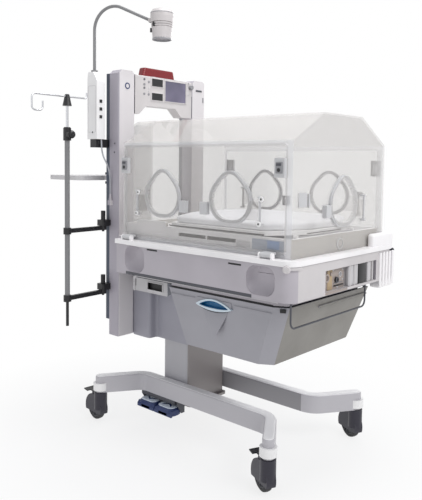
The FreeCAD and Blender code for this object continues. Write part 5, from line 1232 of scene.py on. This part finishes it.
class OBJECT_OT_incubator_panel_trim(bpy.types.Operator):
    """Fits bezels, blank plates, screws and seams on the panel and the uprights"""

    bl_idname = "object.incubator_panel_trim"
    bl_label = "Panel and upright trim"

    def execute(self, context):
        across, up, out = (0, 1, 0), (0, 0, 1), (1, 0, 0)
        parts = []
        for low, high, bottom, top in ((-0.072, -0.011, 1.352, 1.383), (-0.072, -0.011, 1.296, 1.325),
                                       (0.003, 0.124, 1.297, 1.381)):
            centre = (-0.3415, (low + high) / 2, (bottom + top) / 2)
            parts.append(frame_round(
                centre, high - low + 0.007, top - bottom + 0.007, across, up, 0.0036, 0.003, (0.0016, 0, 0),
                "panel"))
        parts.append(frame_round((-0.3420, 0.0265, 1.3395), 0.208, 0.101, across, up, 0.0012, 0.006,
                                 (0.0007, 0, 0), "pale"))
        for y, z, kind in ((-0.112, 1.376, "dark"), (-0.112, 1.341, "dark"), (0.142, 1.384, "grey"),
                           (0.142, 1.335, "pale"),
                           (-0.088, 1.341, "pale"), (-0.088, 1.329, "pale")):
            parts.append(button((-0.3420, y, z), out, 0.0034, 0.0018, kind))
        for y, low, high in ((-0.1625, 1.236, 1.389), (0.1625, 1.236, 1.330)):
            parts.append(plate((-0.3424, y - 0.0009, low), (-0.3408, y + 0.0009, high), "dark", 0.0003))
        joined_on("carriage", "panel_trim", parts)

        parts = [
            collar((-0.3402, -0.2019, 1.3396), out, 0.0125, 0.0082, 0.0018, "navy"),
            button((-0.3402, -0.2019, 1.3396), out, 0.0080, 0.0012, "lilac"),
            plate((-0.3404, -0.2130, 1.0525), (-0.3360, -0.1830, 1.0560), "grey", 0.001),
            plate((-0.3404, -0.1930, 1.0250), (-0.3370, -0.1890, 1.0525), "grey", 0.001),
            button((-0.3402, -0.2021, 1.0120), out, 0.0060, 0.0070, "black"),
            plate((-0.3404, 0.1865, 1.3535), (-0.3385, 0.2240, 1.3615), "dark", 0.0008),
            plate((-0.3404, 0.2290, 1.3080), (-0.3380, 0.2360, 1.3300), "grey", 0.001),
            screw((-0.3643, -0.2438, 1.1136), (0, -1, 0), "dark"),
            screw((-0.3666, -0.2438, 1.0792), (0, -1, 0), "dark"),
            screw((-0.372, -0.1635, 0.520), (0, -1, 0)), screw((-0.372, -0.1635, 0.380), (0, -1, 0)),
            button((-0.4183, -0.3098, 1.1550), (0, -1, 0), 0.0034, 0.0016, "dark"),
        ]
        parts.append(frame_round((-0.4225, -0.310, 1.245), 0.046, 0.180, (1, 0, 0), up, 0.0012, 0.004,
                                 (0, -0.0006, 0), "pale"))
        joined_on("carriage", "upright_trim", parts)
        return {"FINISHED"}


class OBJECT_OT_incubator_lamp_trim(bpy.types.Operator):
    """Fits the vents and the lens rim of the lamp and the knobs of the pole"""

    bl_idname = "object.incubator_lamp_trim"
    bl_label = "Lamp and pole trim"

    def execute(self, context):
        low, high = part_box("lamp_head")
        spot = Vector((high.x - 0.043, (low.y + high.y) / 2, 0)) - MIDDLE
        parts = [
            collar((spot.x, spot.y, low.z - 0.0005), (0, 0, 1), 0.0358, 0.0300, 0.0045, "grey"),
            collar((spot.x, spot.y, high.z - 0.013), (0, 0, 1), 0.0436, 0.0380, 0.0030, "grey"),
            button((spot.x, spot.y, high.z - 0.0015), (0, 0, 1), 0.0240, 0.0050, "lamp_shell", 0.4),
        ]
        for angle, level in ((-92, 1.546), (-128, 1.528)):
            way = Vector((math.cos(math.radians(angle)), math.sin(math.radians(angle)), 0))
            side = way.cross(Vector((0, 0, 1)))
            outline = round_outline(at(spot.x, spot.y, level) + way * 0.0375, 0.0085, 0.0165, side,
                                    (0, 0, 1), 0.0042, 5)
            parts.append(coat(sheet_of(outline, way * 0.0062, 0.0012, 3), "black"))
        joined_on("lamp_head", "lamp_trim", parts)
        axis = Vector((-0.400, -0.440, 0))
        parts = [
            button((axis.x + 0.0255, axis.y, 1.1400), (1, 0, 0), 0.0130, 0.0120, "black", 0.3),
            collar((axis.x, axis.y, 1.1635), (0, 0, 1), 0.0125, 0.0056, 0.004, "black"),
            collar((axis.x, axis.y, 0.5160), (0, 0, 1), 0.0108, 0.0056, 0.010, "dark"),
        ]
        joined_on("pole", "pole_trim", parts)
        return {"FINISHED"}


class OBJECT_OT_incubator_canopy_trim(bpy.types.Operator):
    """Fits caps and studs on the latch blocks and the hinge caps of the side doors"""

    bl_idname = "object.incubator_canopy_trim"
    bl_label = "Canopy trim"

    def execute(self, context):
        for side, sign in SIDES:
            for end in ("head", "foot"):
                low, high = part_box(f"door_latch_{side}_{end}")
                low, high = low - MIDDLE, high - MIDDLE
                face = high.y if sign > 0 else low.y
                middle = (low.x + high.x) / 2
                spans = sorted((face - sign * 0.0006, face + sign * 0.0012))
                cap = plate((low.x + 0.002, spans[0], high.z - 0.011),
                            (high.x - 0.002, spans[1], high.z - 0.003), "dark", 0.0006)
                stud = button((middle, face - sign * 0.0004, low.z + 0.010), (0, sign, 0), 0.0060, 0.0016,
                              "black")
                joined_on(f"latch_{side}_{end}", f"latch_{side}_{end}_cap", [cap, stud])
            caps = []
            for end in ("head", "foot"):
                hinge = joints[f"porthole_{side}_{end}_swing"]["pos_m"][0] - MIDDLE.x
                for x, z in ((hinge, 0.8560), (hinge + 0.009, 0.9325)):
                    caps.append(button((x, sign * 0.3090, z), (0, sign, 0), 0.0085, 0.0030, "white", 0.4))
                    caps.append(button((x, sign * 0.3115, z), (0, sign, 0), 0.0034, 0.0012, "black"))
            joined_on(f"door_{side}", f"door_{side}_caps", caps)
        return {"FINISHED"}


class VIEW3D_PT_incubator(bpy.types.Panel):
    """Runs each step of the incubator's finishing"""

    bl_label = "Incubator"
    bl_space_type = "VIEW_3D"
    bl_region_type = "UI"
    bl_category = "Incubator"

    def draw(self, context):
        for step in STEPS:
            self.layout.operator(step.bl_idname)


STEPS = (
    OBJECT_OT_incubator_stage,
    OBJECT_OT_incubator_base_finish,
    OBJECT_OT_incubator_body_finish,
    OBJECT_OT_incubator_canopy_finish,
    OBJECT_OT_incubator_mattress,
    OBJECT_OT_incubator_cord,
    OBJECT_OT_incubator_wheels,
    OBJECT_OT_incubator_pedals,
    OBJECT_OT_incubator_pull,
    OBJECT_OT_incubator_housing_trim,
    OBJECT_OT_incubator_panel_trim,
    OBJECT_OT_incubator_lamp_trim,
    OBJECT_OT_incubator_canopy_trim,
)
SETTINGS = (PaintColours, PieceSizes)


def register():
    for group in (*SETTINGS, *STEPS, VIEW3D_PT_incubator):
        bpy.utils.register_class(group)
    bpy.types.Scene.incubator_colours = bpy.props.PointerProperty(type=PaintColours)
    bpy.types.Scene.incubator_sizes = bpy.props.PointerProperty(type=PieceSizes)


def unregister():
    del bpy.types.Scene.incubator_sizes
    del bpy.types.Scene.incubator_colours
    for group in reversed((*SETTINGS, *STEPS, VIEW3D_PT_incubator)):
        bpy.utils.unregister_class(group)


def main():
    register()
    for step in STEPS:
        area, name = step.bl_idname.split(".")
        getattr(getattr(bpy.ops, area), name)()


if __name__ == "__main__":
    main()
